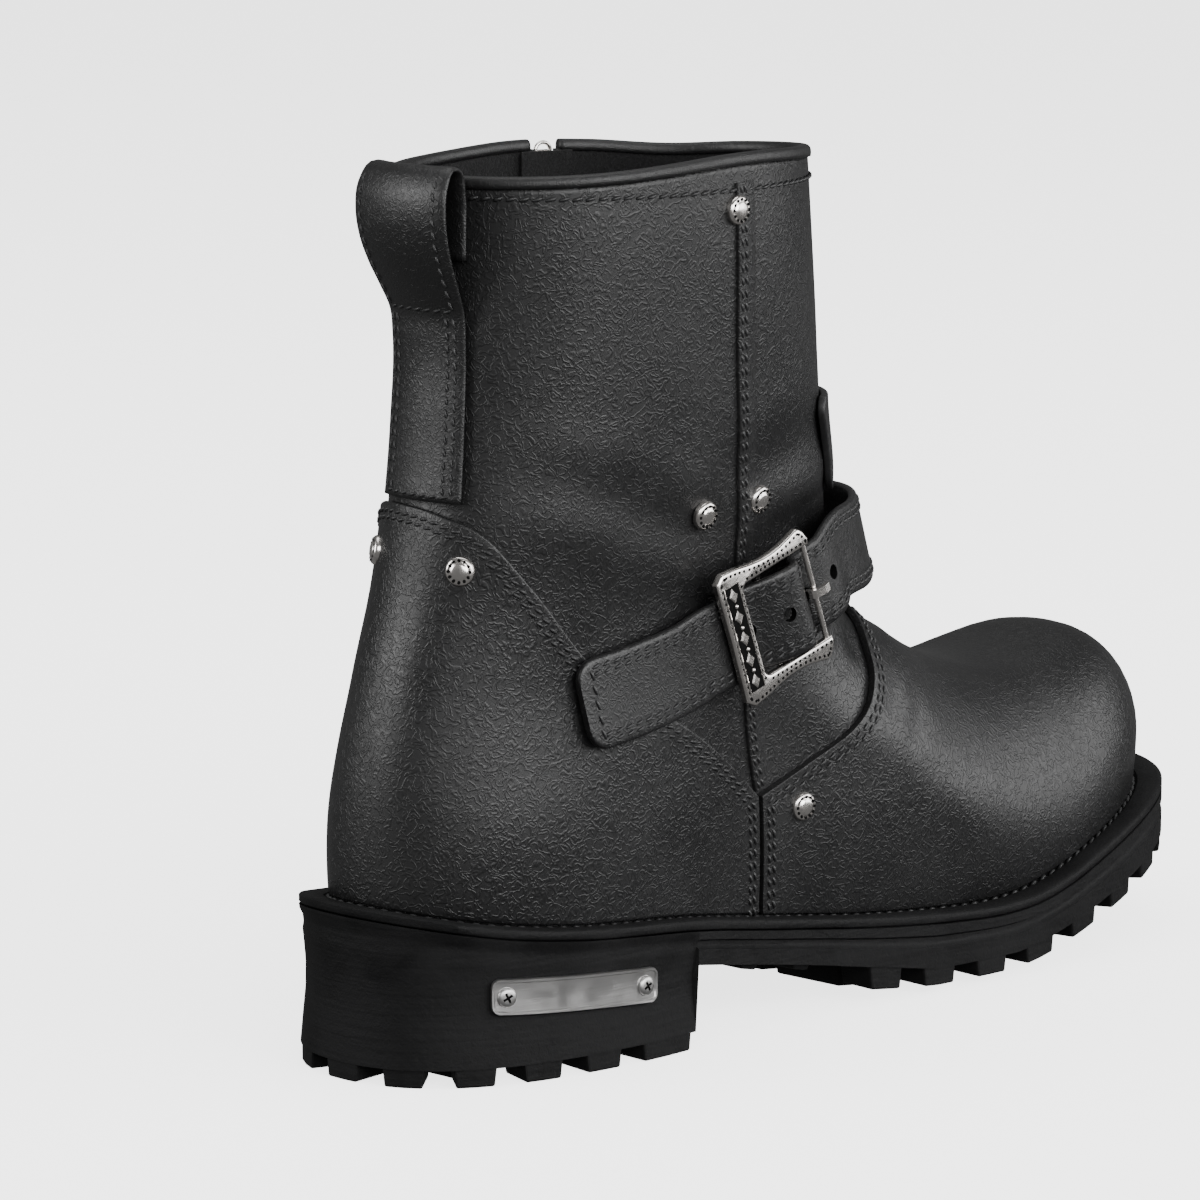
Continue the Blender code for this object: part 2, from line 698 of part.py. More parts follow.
def overlay_grid(rows, shear):
    """Points on the outside between the welt and the upper edge of one overlay."""
    first, last = rows[0][0], rows[-1][0]
    shared = np.degrees(np.concatenate([UPPER_AZIMUTHS - 2 * pi, UPPER_AZIMUTHS]))
    shared = shared[(shared > first + 1.5) & (shared < last - 1.5)]
    azimuths = np.r_[first, shared, last]
    grid = []
    for azimuth in azimuths:
        edge = float(SHAFT_HEIGHT * smooth_curve(azimuth, rows, 1))
        tilt = shear[0] * max(0, 1 - (azimuth - first) / 24) ** 2
        tilt += shear[1] * max(0, 1 - (last - azimuth) / 24) ** 2
        levels = np.linspace(1, 0, OVERLAY_LEVELS)
        columns = [overlay_column(radians(azimuth + tilt * level), edge) for level in levels]
        grid.append([column[k] for k, column in enumerate(columns)])
    return np.array(grid)


def level_loop(azimuths, height):
    """Points round the outside where it crosses a height that depends on x."""
    return np.array([cut_column(column_at(a), height, SHAFT_HEIGHT * 0.8, 2)[0] for a in azimuths])


def outward(loop):
    """Level normals of a closed loop that runs anticlockwise from above."""
    ahead = np.roll(loop, -1, 0) - np.roll(loop, 1, 0)
    out = np.stack([ahead[:, 1], -ahead[:, 0], 0 * ahead[:, 0]], 1)
    return out / np.linalg.norm(out, axis=1, keepdims=True)


def sole_outline(azimuths):
    """Edge of the sole at the height of the welt."""
    loop = level_loop(azimuths, rim_height)
    return loop + outward(loop) * edge_reach(loop[:, 0])[:, None]


def is_heel(x):
    return x <= BREAST_X


def edge_share(y, outer, inner):
    """0 in the middle of the tread, 1 at its edges."""
    out = np.abs(2 * y - outer - inner) / (inner - outer)
    return np.clip((out - 0.7) / 0.3, 0, 1)


def ground_height(x, edge):
    """Where the lugs end."""
    return np.where(is_heel(x), 0, tread_height(x) + EDGE_LIFT * edge)


def underside_height(x, edge):
    """Bottom of the sole between the lugs."""
    slope = (WAIST_HEIGHT - 0.5 * WAIST_HEIGHT) / (FORE_LUG_START - BREAST_X)
    waist = WAIST_HEIGHT - slope * (x - BREAST_X)
    return np.where(is_heel(x), LUG_DEPTH, np.maximum(ground_height(x, edge) + LUG_DEPTH, waist))


class Outline:
    """The sole's edge as an outer and an inner side over x, and as one run from the back."""

    def __init__(self):
        self.loop = sole_outline(np.linspace(-pi, pi, 361)[:-1])
        self.loop[:, 2] = 0
        self.loop = smooth_closed(self.loop, 720)
        back = int(np.argmin(self.loop[:, 0]))
        self.loop = np.roll(self.loop, -back, 0)
        self.out = outward(self.loop)
        step = np.linalg.norm(np.roll(self.loop, -1, 0) - self.loop, axis=1)
        self.run = np.r_[0, np.cumsum(step)]
        toe = int(np.argmax(self.loop[:, 0]))
        self.outer = self.loop[: toe + 1]
        self.inner = np.vstack([self.loop[toe:], self.loop[:1]])[::-1]
        self.toe = toe

    def sides(self, x):
        outer = np.interp(x, self.outer[:, 0], self.outer[:, 1])
        inner = np.interp(x, self.inner[:, 0], self.inner[:, 1])
        return outer, inner

    def at(self, run):
        """Point and normal at a length along the edge."""
        run = run % self.run[-1]
        closed = np.vstack([self.loop, self.loop[:1]])
        normals = np.vstack([self.out, self.out[:1]])
        point = np.array([np.interp(run, self.run, closed[:, k]) for k in range(3)])
        normal = np.array([np.interp(run, self.run, normals[:, k]) for k in range(3)])
        return point, normal / np.linalg.norm(normal)

    def run_at(self, x, outer_side):
        """Length along the edge where it passes x on one side."""
        k = int(np.argmin(np.abs(self.loop[:, 0] - x) + (self.toe_side(outer_side))))
        return self.run[k]

    def toe_side(self, outer_side):
        index = np.arange(len(self.loop))
        on_side = index <= self.toe if outer_side else index > self.toe
        return np.where(on_side, 0, 1)


def smooth_closed(loop, count):
    """A closed loop resampled evenly."""
    closed = np.vstack([loop, loop[:1]])
    run = np.r_[0, np.cumsum(np.linalg.norm(np.diff(closed, axis=0), axis=1))]
    marks = np.linspace(0, run[-1], count + 1)[:-1]
    return np.stack([np.interp(marks, run, closed[:, k]) for k in range(3)], 1)


def sole_section(outline, k, stations):
    """One cross-section of the sole without its lugs, from the outer top edge down and round."""
    x = stations[k]
    heel = is_heel(x)
    sides = []
    for line, hand in ((outline.outer, -1), (outline.inner, 1)):
        y = np.interp(x, line[:, 0], line[:, 1])
        before = np.interp(x - 0.0004, line[:, 0], line[:, 1])
        after = np.interp(x + 0.0004, line[:, 0], line[:, 1])
        slope = 0 if abs(x - BREAST_X) < 0.001 else (after - before) / 0.0008
        normal = np.array([-hand * slope, hand]) / (1 + slope**2) ** 0.5
        column = []
        for heel_down, heel_inset, fore_down, fore_inset in SIDE_ROWS:
            down, inset = (heel_down, heel_inset) if heel else (fore_down, fore_inset)
            spot = np.array([x, y]) - normal * inset * SIDE_STEP
            top = seat_height(spot[0])
            bottom = float(underside_height(x, 1.0))
            column.append((spot[0], spot[1], top + down * (bottom - top)))
        sides.append(column)
    outer, inner = sides
    under = []
    for share in (0.2, 0.5, 0.8):
        first, last = np.array(outer[-1]), np.array(inner[-1])
        spot = first + share * (last - first)
        edge = float(edge_share(spot[1], first[1], last[1]))
        under.append((spot[0], spot[1], float(underside_height(x, edge))))
    return np.array(outer + under + inner[::-1])


def perimeter_lug(outline, start, end):
    """Sections of a lug that follows the edge between two lengths along it."""
    sections = []
    count = 3
    for i in range(count):
        share = i / (count - 1)
        section = []
        for draft in (0, LUG_DRAFT):
            run = start + draft + share * (end - start - 2 * draft)
            point, normal = outline.at(run)
            outside = point - normal * 0.0004
            inside = point - normal * (LUG_REACH - draft)
            edge = 1.0
            if draft:
                heights = [float(ground_height(p[0], edge)) for p in (outside, inside)]
            else:
                heights = [float(underside_height(p[0], edge)) + 0.0012 for p in (outside, inside)]
            section.append([(*p[:2], h) for p, h in zip((outside, inside), heights)])
        (top_out, top_in), (low_out, low_in) = section
        sections.append(np.array([top_out, low_out, low_in, top_in]))
    return sections


def block_lug(outline, x, length, y_low, y_high, heights=None):
    """Sections of a straight lug under the middle of the sole."""
    sections = []
    for y, inward in ((y_low, LUG_DRAFT), (y_high, -LUG_DRAFT)):
        outer, inner = outline.sides(x)
        edge = float(edge_share(y, outer, inner))
        section = []
        for end, draft in ((-1, LUG_DRAFT), (1, -LUG_DRAFT)):
            here = x + end * length / 2
            top = float(underside_height(here, edge)) + 0.0012
            low = float(ground_height(here, edge)) if heights is None else top - 0.0012 - heights
            section += [(here, y, top), (here + draft, y + inward, low)]
        sections.append(np.array([section[0], section[1], section[3], section[2]]))
    return sections


def add_lugs(outline):
    """All lugs in one mesh of separate blocks."""
    lugs = []
    total = outline.run[-1]
    breast_outer = outline.run_at(BREAST_X - 0.0012, True)
    breast_inner = outline.run_at(BREAST_X - 0.0012, False) - total
    span = breast_outer - breast_inner
    gap = (span - 2 * BREAST_LUG_LENGTH - (HEEL_LUGS - 2) * LUG_LENGTH) / (HEEL_LUGS - 1)
    start = breast_inner
    for i in range(HEEL_LUGS):
        length = BREAST_LUG_LENGTH if i in (0, HEEL_LUGS - 1) else LUG_LENGTH
        lugs.append(perimeter_lug(outline, start, start + length))
        start += length + gap
    first = outline.run_at(FORE_LUG_START, True)
    last = outline.run_at(FORE_LUG_START, False)
    gap = (last - first - FORE_LUGS * LUG_LENGTH) / (FORE_LUGS - 1)
    for i in range(FORE_LUGS):
        start = first + i * (LUG_LENGTH + gap)
        lugs.append(perimeter_lug(outline, start, start + LUG_LENGTH))
    for x in (-0.0190, 0.0020, 0.0240):
        for low, high in ((-0.0230, -0.0065), (-0.0035, 0.0150)):
            lugs.append(block_lug(outline, x, 0.0140, low, high))
    pitch = LUG_LENGTH + gap
    for i in range(7):
        x = FORE_LUG_START + 0.0120 + i * pitch
        outer, inner = outline.sides(x)
        middle = (outer + inner) / 2
        half = (inner - outer) / 2 - LUG_REACH - 0.0050
        lugs.append(block_lug(outline, x, LUG_LENGTH, middle - half, middle - 0.0020))
        lugs.append(block_lug(outline, x, LUG_LENGTH, middle + 0.0020, middle + half))
    for x in WAIST_LUGS:
        outer, inner = outline.sides(x)
        lugs.append(block_lug(outline, x, 0.0070, outer + 0.0012, inner - 0.0012, WAIST_LUG_DEPTH))
    points, faces = [], []
    for sections in lugs:
        base, size = len(points), len(sections[0])
        points += [tuple(p) for section in sections for p in section]
        for i in range(len(sections) - 1):
            for k in range(size):
                m = (k + 1) % size
                a, b = base + i * size, base + (i + 1) * size
                faces.append((a + k, b + k, b + m, a + m))
        faces.append(tuple(base + k for k in range(size)))
        faces.append(tuple(base + (len(sections) - 1) * size + k for k in range(size)))
    return add_mesh("lugs", points, faces, RUBBER, smooth=False)


def add_outsole(outline):
    low, high = outline.outer[0, 0], outline.outer[-1, 0]
    share = np.linspace(0.035, 0.965, 34)
    spread = 0.62 * (1 - np.cos(pi * share)) / 2 + 0.38 * share
    stations = low + (high - low) * spread
    stations = stations[np.abs(stations - BREAST_X) > 0.0015]
    stations = np.sort(np.r_[stations, BREAST_X - 0.00015, BREAST_X + 0.00015, low + 0.0003, high - 0.0003])
    sections = [sole_section(outline, k, stations) for k in range(len(stations))]
    sole = loft("outsole", sections, RUBBER, smooth=False)
    boolean(sole, add_lugs(outline), "UNION", crossing=True)
    return sole


def add_welt():
    azimuths = even_azimuths(56)
    low = level_loop(azimuths, lambda x: seat_height(x) + GAP)
    high = level_loop(azimuths, rim_height)
    edge = sole_outline(azimuths)
    out = outward(high)
    inner_low = low + out * FIT
    inner_high = high + out * FIT
    edge_low = edge.copy()
    edge_low[:, 2] = seat_height(edge[:, 0]) + GAP
    inner_low[:, 2] = seat_height(inner_low[:, 0]) + GAP
    shoulder = edge.copy()
    shoulder[:, 2] = rim_height(edge[:, 0]) - 0.0006
    lip = edge - out * 0.0006
    lip[:, 2] = rim_height(lip[:, 0])
    inner_high[:, 2] = rim_height(inner_high[:, 0])
    sections = [
        np.array([inner_low[i], edge_low[i], shoulder[i], lip[i], inner_high[i]])
        for i in range(len(azimuths))
    ]
    return loft("welt", sections, WELT_RUBBER, closed=True, smooth=False)


def add_upper():
    grid = [upper_column(a) for a in UPPER_AZIMUTHS]
    columns, rows = len(grid), len(grid[0])
    mesh = bpy.data.meshes.new("upper")
    mesh.from_pydata([tuple(p) for column in grid for p in column], [], grid_faces(columns, rows, True))
    mesh.shade_smooth()
    mesh.materials.append(LEATHER)
    upper = bpy.data.objects.new("upper", mesh)
    BOOT.objects.link(upper)
    solidify(upper, WALL, -1)
    half = ZIP_SLOT / 2
    slot = [(ZIP_X - half, 0.25), (ZIP_X - half, ZIP_END_Z + half)]
    slot += [(ZIP_X - half * cos(a), ZIP_END_Z + half - half * sin(a)) for a in np.linspace(0, pi, 9)[1:-1]]
    slot += [(ZIP_X + half, ZIP_END_Z + half), (ZIP_X + half, 0.25)]
    sections = [np.array([(x, y, z) for x, z in slot]) for y in (0.012, 0.060)]
    boolean(upper, loft("zip_slot", sections, LEATHER), "DIFFERENCE")
    return upper


def add_insole():
    azimuths = even_azimuths(48)
    loop = level_loop(azimuths, lambda x: seat_height(x) + FIT)
    loop = loop - outward(loop) * (WALL + 2 * FIT)
    order = smooth_closed(loop, 400)
    back, toe = int(np.argmin(order[:, 0])), int(np.argmax(order[:, 0]))
    order = np.roll(order, -back, 0)
    toe = (toe - back) % len(order)
    outer, inner = order[: toe + 1], np.vstack([order[toe:], order[:1]])[::-1]
    low, high = outer[0, 0], outer[-1, 0]
    share = np.linspace(0.03, 0.97, 26)
    stations = low + (high - low) * (0.62 * (1 - np.cos(pi * share)) / 2 + 0.38 * share)
    sections = []
    for x in stations:
        y_outer, y_inner = np.interp(x, outer[:, 0], outer[:, 1]), np.interp(x, inner[:, 0], inner[:, 1])
        bottom = seat_height(x) + GAP
        top = bottom + INSOLE_THICKNESS
        corners = ((y_outer, bottom), (y_outer, top), (y_inner, top), (y_inner, bottom))
        sections.append(np.array([(x, y, z) for y, z in corners]))
    return loft("insole", sections, LINING, smooth=False)


def overlay(name, rows, shear, thickness, look):
    """A leather piece laid over the upper, cut from the same outside. shear: degrees that the foot of
    each end lies ahead of its top."""
    grid = overlay_grid(rows, shear)
    count, levels = grid.shape[:2]
    normals = normals_at(grid)
    inside = grid + normals * GAP
    outside = grid + normals * (GAP + thickness)
    inside[:, 0, 2] = overlay_foot_height(inside[:, 0, 0])
    outside[:, 0, 2] = overlay_foot_height(outside[:, 0, 0])
    points = np.vstack([outside.reshape(-1, 3), inside.reshape(-1, 3)])
    size = count * levels
    faces = grid_faces(count, levels, False)
    faces += [tuple(size + i for i in reversed(face)) for face in faces]
    border = [i * levels for i in range(count)]
    border += [(count - 1) * levels + k for k in range(1, levels)]
    border += [i * levels + levels - 1 for i in reversed(range(count - 1))]
    border += list(reversed(range(1, levels - 1)))
    for a, b in zip(border, border[1:] + border[:1]):
        faces.append((b, a, size + a, size + b))
    return add_mesh(name, points, faces, look)


def zip_azimuth():
    point = min(
        (surface_at(a, SHAFT_HEIGHT) for a in np.linspace(60, 120, 241)), key=lambda p: abs(p[0] - ZIP_X)
    )
    return np.arctan2(point[1] - PIVOT.y, point[0] - PIVOT.x)


def add_binding():
    middle = zip_azimuth()
    radius = np.linalg.norm(surface_at(np.degrees(middle), SHAFT_HEIGHT)[:2] - np.array(PIVOT)[:2])
    half_slot = (ZIP_SLOT / 2 + GAP) / radius
    sections = []
    half = WALL / 2 + BINDING_PROUD
    profile = ((-1, 0), (1, 0), (1, 0.55), (0.6, 1), (-0.6, 1), (-1, 0.55))
    for azimuth in np.linspace(middle + half_slot, middle - half_slot + 2 * pi, 44):
        top = float(collar_height(azimuth))
        point = surface_at(np.degrees(azimuth), top - BINDING_HEIGHT)
        out = normals_at(point)
        out[2] = 0
        out /= np.linalg.norm(out)
        centre = point - out * WALL / 2
        section = []
        for across, up in profile:
            spot = centre + out * across * half
            section.append((spot[0], spot[1], top - BINDING_HEIGHT * (1 - up)))
        sections.append(np.array(section))
    return loft("collar_binding", sections, BINDING_LEATHER)


def horizontal(vectors):
    flat = np.array(vectors, float)
    flat[..., 2] = 0
    return flat / np.linalg.norm(flat, axis=-1, keepdims=True)


def buckle_frame():
    """Origin on the leather and the axes along the strap, across it and outward."""
    origin = surface_at(BUCKLE_AZIMUTH, BUCKLE_Z)
    out = np.array([cos(BUCKLE_FACING), sin(BUCKLE_FACING), 0])
    level = np.array([-out[1], out[0], 0])
    forward = level * cos(BUCKLE_PITCH) + np.array([0, 0, 1]) * sin(BUCKLE_PITCH)
    return origin, forward, np.cross(out, forward), out


def strap_rise():
    """Middle of the strap over the leather where it passes under the buckle's rear side."""
    return BUCKLE_RISE - BUCKLE_THICKNESS / 2 - GAP - STRAP_THICKNESS / 2 - 0.5 * GAP


def strap_station(azimuth, up, off, lean):
    """Middle of the strap on the line out at one azimuth, as near as its clearance lets it come."""
    angle = radians(azimuth)
    ray = np.array([cos(angle), sin(angle), 0])
    level = horizontal(normals_at(surface_at(azimuth, up * SHAFT_HEIGHT)))
    face = level * cos(radians(lean)) + np.array([0, 0, 1]) * sin(radians(lean))
    across = np.array([0, 0, 1]) * cos(radians(lean)) - level * sin(radians(lean))
    base = np.array([PIVOT.x, PIVOT.y, up * SHAFT_HEIGHT])
    near, far = 0.02, 0.10
    marks = across[None] * np.linspace(-0.5, 0.5, 7)[:, None] * STRAP_WIDTH
    for _ in range(24):
        middle = (near + far) / 2
        inner = base + ray * middle - face * STRAP_THICKNESS / 2 + marks
        if distance_at(inner).min() > off * STRAP_STANDOFF:
            far = middle
        else:
            near = middle
    return base + ray * far, face


def thinned(line, spacing, turn):
    """The line at about the given spacing, and closer where it turns more than that many degrees."""
    ahead = np.diff(line[:, :3], axis=0)
    length = np.linalg.norm(ahead, axis=1)
    ahead /= length[:, None]
    bend = np.r_[0, np.degrees(np.arccos(np.clip(np.sum(ahead[1:] * ahead[:-1], axis=1), -1, 1)))]
    cost = np.r_[0, np.cumsum(length / spacing + bend / turn)]
    marks = np.linspace(0, cost[-1], int(round(cost[-1])) + 1)
    return np.stack([np.interp(marks, cost, line[:, k]) for k in range(line.shape[1])], 1)


def strap_line():
    """Middle points of the strap with the way its face looks, and which one is at the prong's hole."""
    origin, forward, across, out = buckle_frame()
    ends = []
    for rows in (STRAP_ROWS, FREE_END_ROWS):
        ends.append([np.concatenate(strap_station(*row)) for row in rows])
    middle = origin + out * strap_rise()
    passed = np.array([
        middle + forward * a * BUCKLE_LENGTH + out * rise * STRAP_HUMP - across * low * STRAP_WIDTH
        for a, rise, low in BUCKLE_PASS_ROWS
    ])
    faces = np.cross(across, np.gradient(passed, axis=0))
    faces /= np.linalg.norm(faces, axis=1, keepdims=True)
    line = smooth_path(np.vstack([ends[0], np.hstack([passed, faces]), ends[1]]), 0.0004)
    hole = middle + forward * PRONG_HOLE * BUCKLE_LENGTH
    return line, int(np.argmin(np.linalg.norm(line[:, :3] - hole, axis=1)))


def add_strap():
    line, used = strap_line()
    coarse = thinned(line, 0.0066, 15)
    path, faces = coarse[:, :3], coarse[:, 3:]
    strap = ribbon("strap", path, faces, STRAP_WIDTH, STRAP_THICKNESS, STRAP_LEATHER, (False, True))
    run = np.r_[0, np.cumsum(np.linalg.norm(np.diff(line[:, :3], axis=0), axis=1))]
    for i in range(-1, 3):
        here = run[used] + i * STRAP_HOLE_SPACING
        before, centre, after = (
            np.array([np.interp(here + step, run, line[:, k]) for k in range(6)])
            for step in (-0.0008, 0, 0.0008)
        )
        ahead = (after - before)[:3]
        side = np.cross(centre[3:], ahead)
        punch = cylinder("strap_hole_%d" % (i + 2), STRAP_HOLE / 2, 3 * STRAP_THICKNESS, STRAP_LEATHER, 8)
        place(punch, centre[:3], side, np.cross(ahead, side))
        boolean(strap, punch, "DIFFERENCE")
    return strap


def cylinder(name, radius, length, look, sides=12):
    mesh = bpy.data.meshes.new(name)
    made = bmesh.new()
    bmesh.ops.create_cone(
        made, cap_ends=True, segments=sides, radius1=radius, radius2=radius, depth=length
    )
    made.to_mesh(mesh)
    made.free()
    mesh.materials.append(look)
    obj = bpy.data.objects.new(name, mesh)
    BOOT.objects.link(obj)
    return obj


def block(name, size, look):
    mesh = bpy.data.meshes.new(name)
    made = bmesh.new()
    bmesh.ops.create_cube(made, size=1.0)
    bmesh.ops.scale(made, vec=size, verts=made.verts)
    made.to_mesh(mesh)
    made.free()
    mesh.materials.append(look)
    obj = bpy.data.objects.new(name, mesh)
    BOOT.objects.link(obj)
    return obj


def flat_outline(name, points, thickness, look):
    """A flat piece of one outline, centred on its own plane."""
    curve = bpy.data.curves.new(name, "CURVE")
    curve.dimensions = "2D"
    curve.fill_mode = "BOTH"
    curve.extrude = thickness / 2
    spline = curve.splines.new("POLY")
    spline.points.add(len(points) - 1)
    for point, (x, y) in zip(spline.points, points):
        point.co = (x, y, 0, 1)
    spline.use_cyclic_u = True
    guide = bpy.data.objects.new(name + "_outline", curve)
    BOOT.objects.link(guide)
    mesh = bpy.data.meshes.new_from_object(guide)
    bpy.data.objects.remove(guide, do_unlink=True)
    solid = bmesh.new()
    solid.from_mesh(mesh)
    bmesh.ops.remove_doubles(solid, verts=solid.verts, dist=0.00001)
    bmesh.ops.recalc_face_normals(solid, faces=solid.faces)
    solid.to_mesh(mesh)
    solid.free()
    mesh.name = name
    mesh.materials.append(look)
    obj = bpy.data.objects.new(name, mesh)
    BOOT.objects.link(obj)
    return obj


def local_to_world(frame, a, b, n):
    origin, forward, across, out = frame
    return origin + forward * a + across * b + out * n


def add_buckle():
    frame = buckle_frame()
    origin, forward, across, out = frame
    half_opening = BUCKLE_OPENING / 2 / BUCKLE_HEIGHT
    inner_side = -0.5 + BUCKLE_SIDE / BUCKLE_LENGTH
    upper_half = [(a, b) for a, b in BUCKLE_EDGE]
    upper_half += [(ROD_ALONG, half_opening), (inner_side, half_opening)]
    lower_half = [(a, -b) for a, b in reversed(upper_half)]
    shares = upper_half + lower_half
    points = [(a * BUCKLE_LENGTH, b * BUCKLE_HEIGHT) for a, b in shares]
    buckle = flat_outline("buckle", points, BUCKLE_THICKNESS, SILVER)
    rod = cylinder("buckle_rod", BUCKLE_ROD / 2, BUCKLE_OPENING + 0.0030, SILVER)
    across_it = Matrix.Rotation(pi / 2, 4, "X")
    rod.matrix_world = Matrix.Translation((ROD_ALONG * BUCKLE_LENGTH, 0, 0)) @ across_it
    drop = BUCKLE_RISE - BAR_RISE
    reach = BUCKLE_OPENING / 2 + 0.0011
    bar = cylinder("buckle_bar", BUCKLE_BAR / 2, 2 * reach + 0.0002, SILVER)
    bar.matrix_world = Matrix.Translation((BAR_ALONG * BUCKLE_LENGTH, 0, -drop)) @ across_it
    joined = [rod, bar]
    for i, hand in enumerate((-1, 1)):
        leg = block("buckle_leg_%d" % i, (0.0024, 0.0018, drop + BUCKLE_BAR / 2 + 0.0004), SILVER)
        leg.matrix_world = Matrix.Translation(
            (BAR_ALONG * BUCKLE_LENGTH, hand * reach, -(drop + BUCKLE_BAR / 2 + 0.0004) / 2)
        )
        joined.append(leg)
    centre = local_to_world(frame, 0, 0, BUCKLE_RISE)
    turn = Matrix([list(v) for v in (forward, across, out)]).transposed().to_4x4()
    at = Matrix.Translation(Vector(centre)) @ turn
    for piece in joined:
        piece.matrix_world = at @ piece.matrix_world
        boolean(buckle, piece, "UNION")
    buckle.matrix_world = at
    return buckle


def ring_path(frame, points):
    """World points and outward faces of a band whose path lies in the plane along and outward."""
    path = np.array([local_to_world(frame, a, 0, n) for a, n in points])
    ahead = np.gradient(path, axis=0)
    faces = np.cross(frame[2], ahead)
    return path, faces


def add_prong():
    """Hooked round the bar, forward under the strap, up through its hole and over the rod."""
    frame = buckle_frame()
    bar, rod, hole = (share * BUCKLE_LENGTH for share in (BAR_ALONG, ROD_ALONG, PRONG_HOLE))
    radius = BUCKLE_BAR / 2 + GAP + PRONG_THICKNESS / 2
    turns = [radians(t) for t in (115, 145, 175, 205, 235, 260, 285)]
    points = [(bar + radius * cos(t), BAR_RISE + radius * sin(t)) for t in turns]
    under = strap_rise() - STRAP_THICKNESS / 2 - GAP - PRONG_THICKNESS / 2
    points += [(bar + 0.5 * (hole - bar), under - 0.0008), (hole - 0.0028, under - 0.0005)]
    points += [(hole - 0.0012, under), (hole - 0.0003, under + 0.0012), (hole, strap_rise())]
    over = BUCKLE_ROD / 2 + GAP + PRONG_THICKNESS / 2
    turns = [radians(t) for t in (172, 146, 118, 92)]
    points += [(rod + over * cos(t), BUCKLE_RISE + over * sin(t)) for t in turns]
    points += [(rod + 0.0020, BUCKLE_RISE + over + 0.0001), (rod + 0.0038, BUCKLE_RISE + over - 0.0004)]
    path, faces = ring_path(frame, points)
    return ribbon("buckle_prong", path, faces, PRONG_WIDTH, PRONG_THICKNESS, SILVER)


def leather_rise(frame, a, half_width):
    """How far the leather stands out of the buckle's base plane in a strip across the strap."""
    marks = np.linspace(-half_width, half_width, 5)
    near, far = -0.004, 0.008
    for _ in range(18):
        middle = (near + far) / 2
        spots = np.array([local_to_world(frame, a, b, middle) for b in marks])
        if distance_at(spots).min() > 0:
            far = middle
        else:
            near = middle
    return far


def add_chape():
    """Folded leather that holds the buckle's bar, slotted for the prong."""
    frame = buckle_frame()
    bar = BAR_ALONG * BUCKLE_LENGTH
    radius = BUCKLE_BAR / 2 + GAP + CHAPE_THICKNESS / 2
    marks = np.linspace(-CHAPE_LENGTH, -0.0035, 6)
    low = [max(leather_rise(frame, a, CHAPE_WIDTH / 2) + 1.5 * GAP + CHAPE_THICKNESS / 2, 0) for a in marks]
    points = [(a, n + CHAPE_THICKNESS + GAP) for a, n in zip(marks, low)]
    turns = [radians(t) for t in (100, 70, 40, 10, -20, -50, -80)]
    points += [(bar + radius * cos(t), BAR_RISE + radius * sin(t)) for t in turns]
    points += [(a, n) for a, n in zip(marks[::-1], low[::-1])]
    path, faces = ring_path(frame, points)
    chape = ribbon("chape", path, faces, CHAPE_WIDTH, CHAPE_THICKNESS, STRAP_LEATHER)
    length = radius + CHAPE_THICKNESS + 0.0040
    slot = block("chape_slot", (length, PRONG_WIDTH + 4 * GAP, 0.02), STRAP_LEATHER)
    centre = local_to_world(frame, bar + length / 2 - 0.0034, 0, BAR_RISE)
    place(slot, centre, frame[1], frame[3])
    boolean(chape, slot, "DIFFERENCE")
    return chape


def add_pull_loop():
    """Sewn up the back, out into a loop and down behind itself."""
    rows = smooth_path(np.array([(d * LOOP_BULGE, up * SHAFT_HEIGHT, 0) for d, up in LOOP_ROWS]), 0.0055)
    depth = rows[:, 0] + GAP + LOOP_THICKNESS / 2
    height = rows[:, 1]
    rise, lean = np.gradient(height), np.gradient(depth)
    size = np.hypot(rise, lean)
    rise, lean = rise / size, lean / size
    centre_at = surface_at(LOOP_AZIMUTH, height[0])
    radius = np.linalg.norm(centre_at[:2] - np.array(PIVOT)[:2])
    spread = np.degrees(LOOP_WIDTH / 2 / radius)
    rings = []
    for d, z, up, away in zip(depth, height, rise, lean):
        inner, outer = [], []
        for share in (-1, -0.5, 0, 0.5, 1):
            spot = surface_at(LOOP_AZIMUTH + share * spread, z)
            out = horizontal(normals_at(spot))
            middle = spot + out * d
            face = out * up - np.array([0, 0, 1]) * away
            inner.append(middle - face * LOOP_THICKNESS / 2)
            outer.append(middle + face * LOOP_THICKNESS / 2)
        rings.append(np.array(inner + outer[::-1]))
    return loft("pull_loop", rings, STRAP_LEATHER, smooth=False)


def add_rivets():
    dome = ((0, 1), (0.6, 0.88), (0.93, 0.45), (1, 0), (0, 0))
    profile = [(r * RIVET_DIAMETER / 2, h * RIVET_HEIGHT) for r, h in dome]
    for name, azimuth, up, cover in RIVET_ROWS:
        point = surface_at(azimuth, up * SHAFT_HEIGHT)
        normal = normals_at(point)
        rivet = turned("rivet_" + name, profile, SILVER, 8)
        place(rivet, point + normal * (cover + 2 * GAP), (0, 0, 1), normal)


def patch(name, azimuths, heights, near, far, look):
    """A curved plate that follows the upper between two distances from its outside."""
    inner, outer = [], []
    for row_azimuths, height in zip(azimuths, heights):
        for azimuth in row_azimuths:
            point = surface_at(azimuth, height)
            normal = normals_at(point)
            inner.append(point + normal * near)
            outer.append(point + normal * far)
    rows, columns = len(heights), len(azimuths[0])
    size = rows * columns
    faces = []
    for i in range(rows - 1):
        for k in range(columns - 1):
            a, b = i * columns + k, (i + 1) * columns + k
            faces += [(a, a + 1, b + 1, b), (size + b, size + b + 1, size + a + 1, size + a)]
    border = list(range(columns)) + [i * columns + columns - 1 for i in range(1, rows)]
    border += [(rows - 1) * columns + k for k in reversed(range(columns - 1))]
    border += [i * columns for i in reversed(range(1, rows - 1))]
    for a, b in zip(border, border[1:] + border[:1]):
        faces.append((b, a, size + a, size + b))
    return add_mesh(name, inner + outer, faces, look)


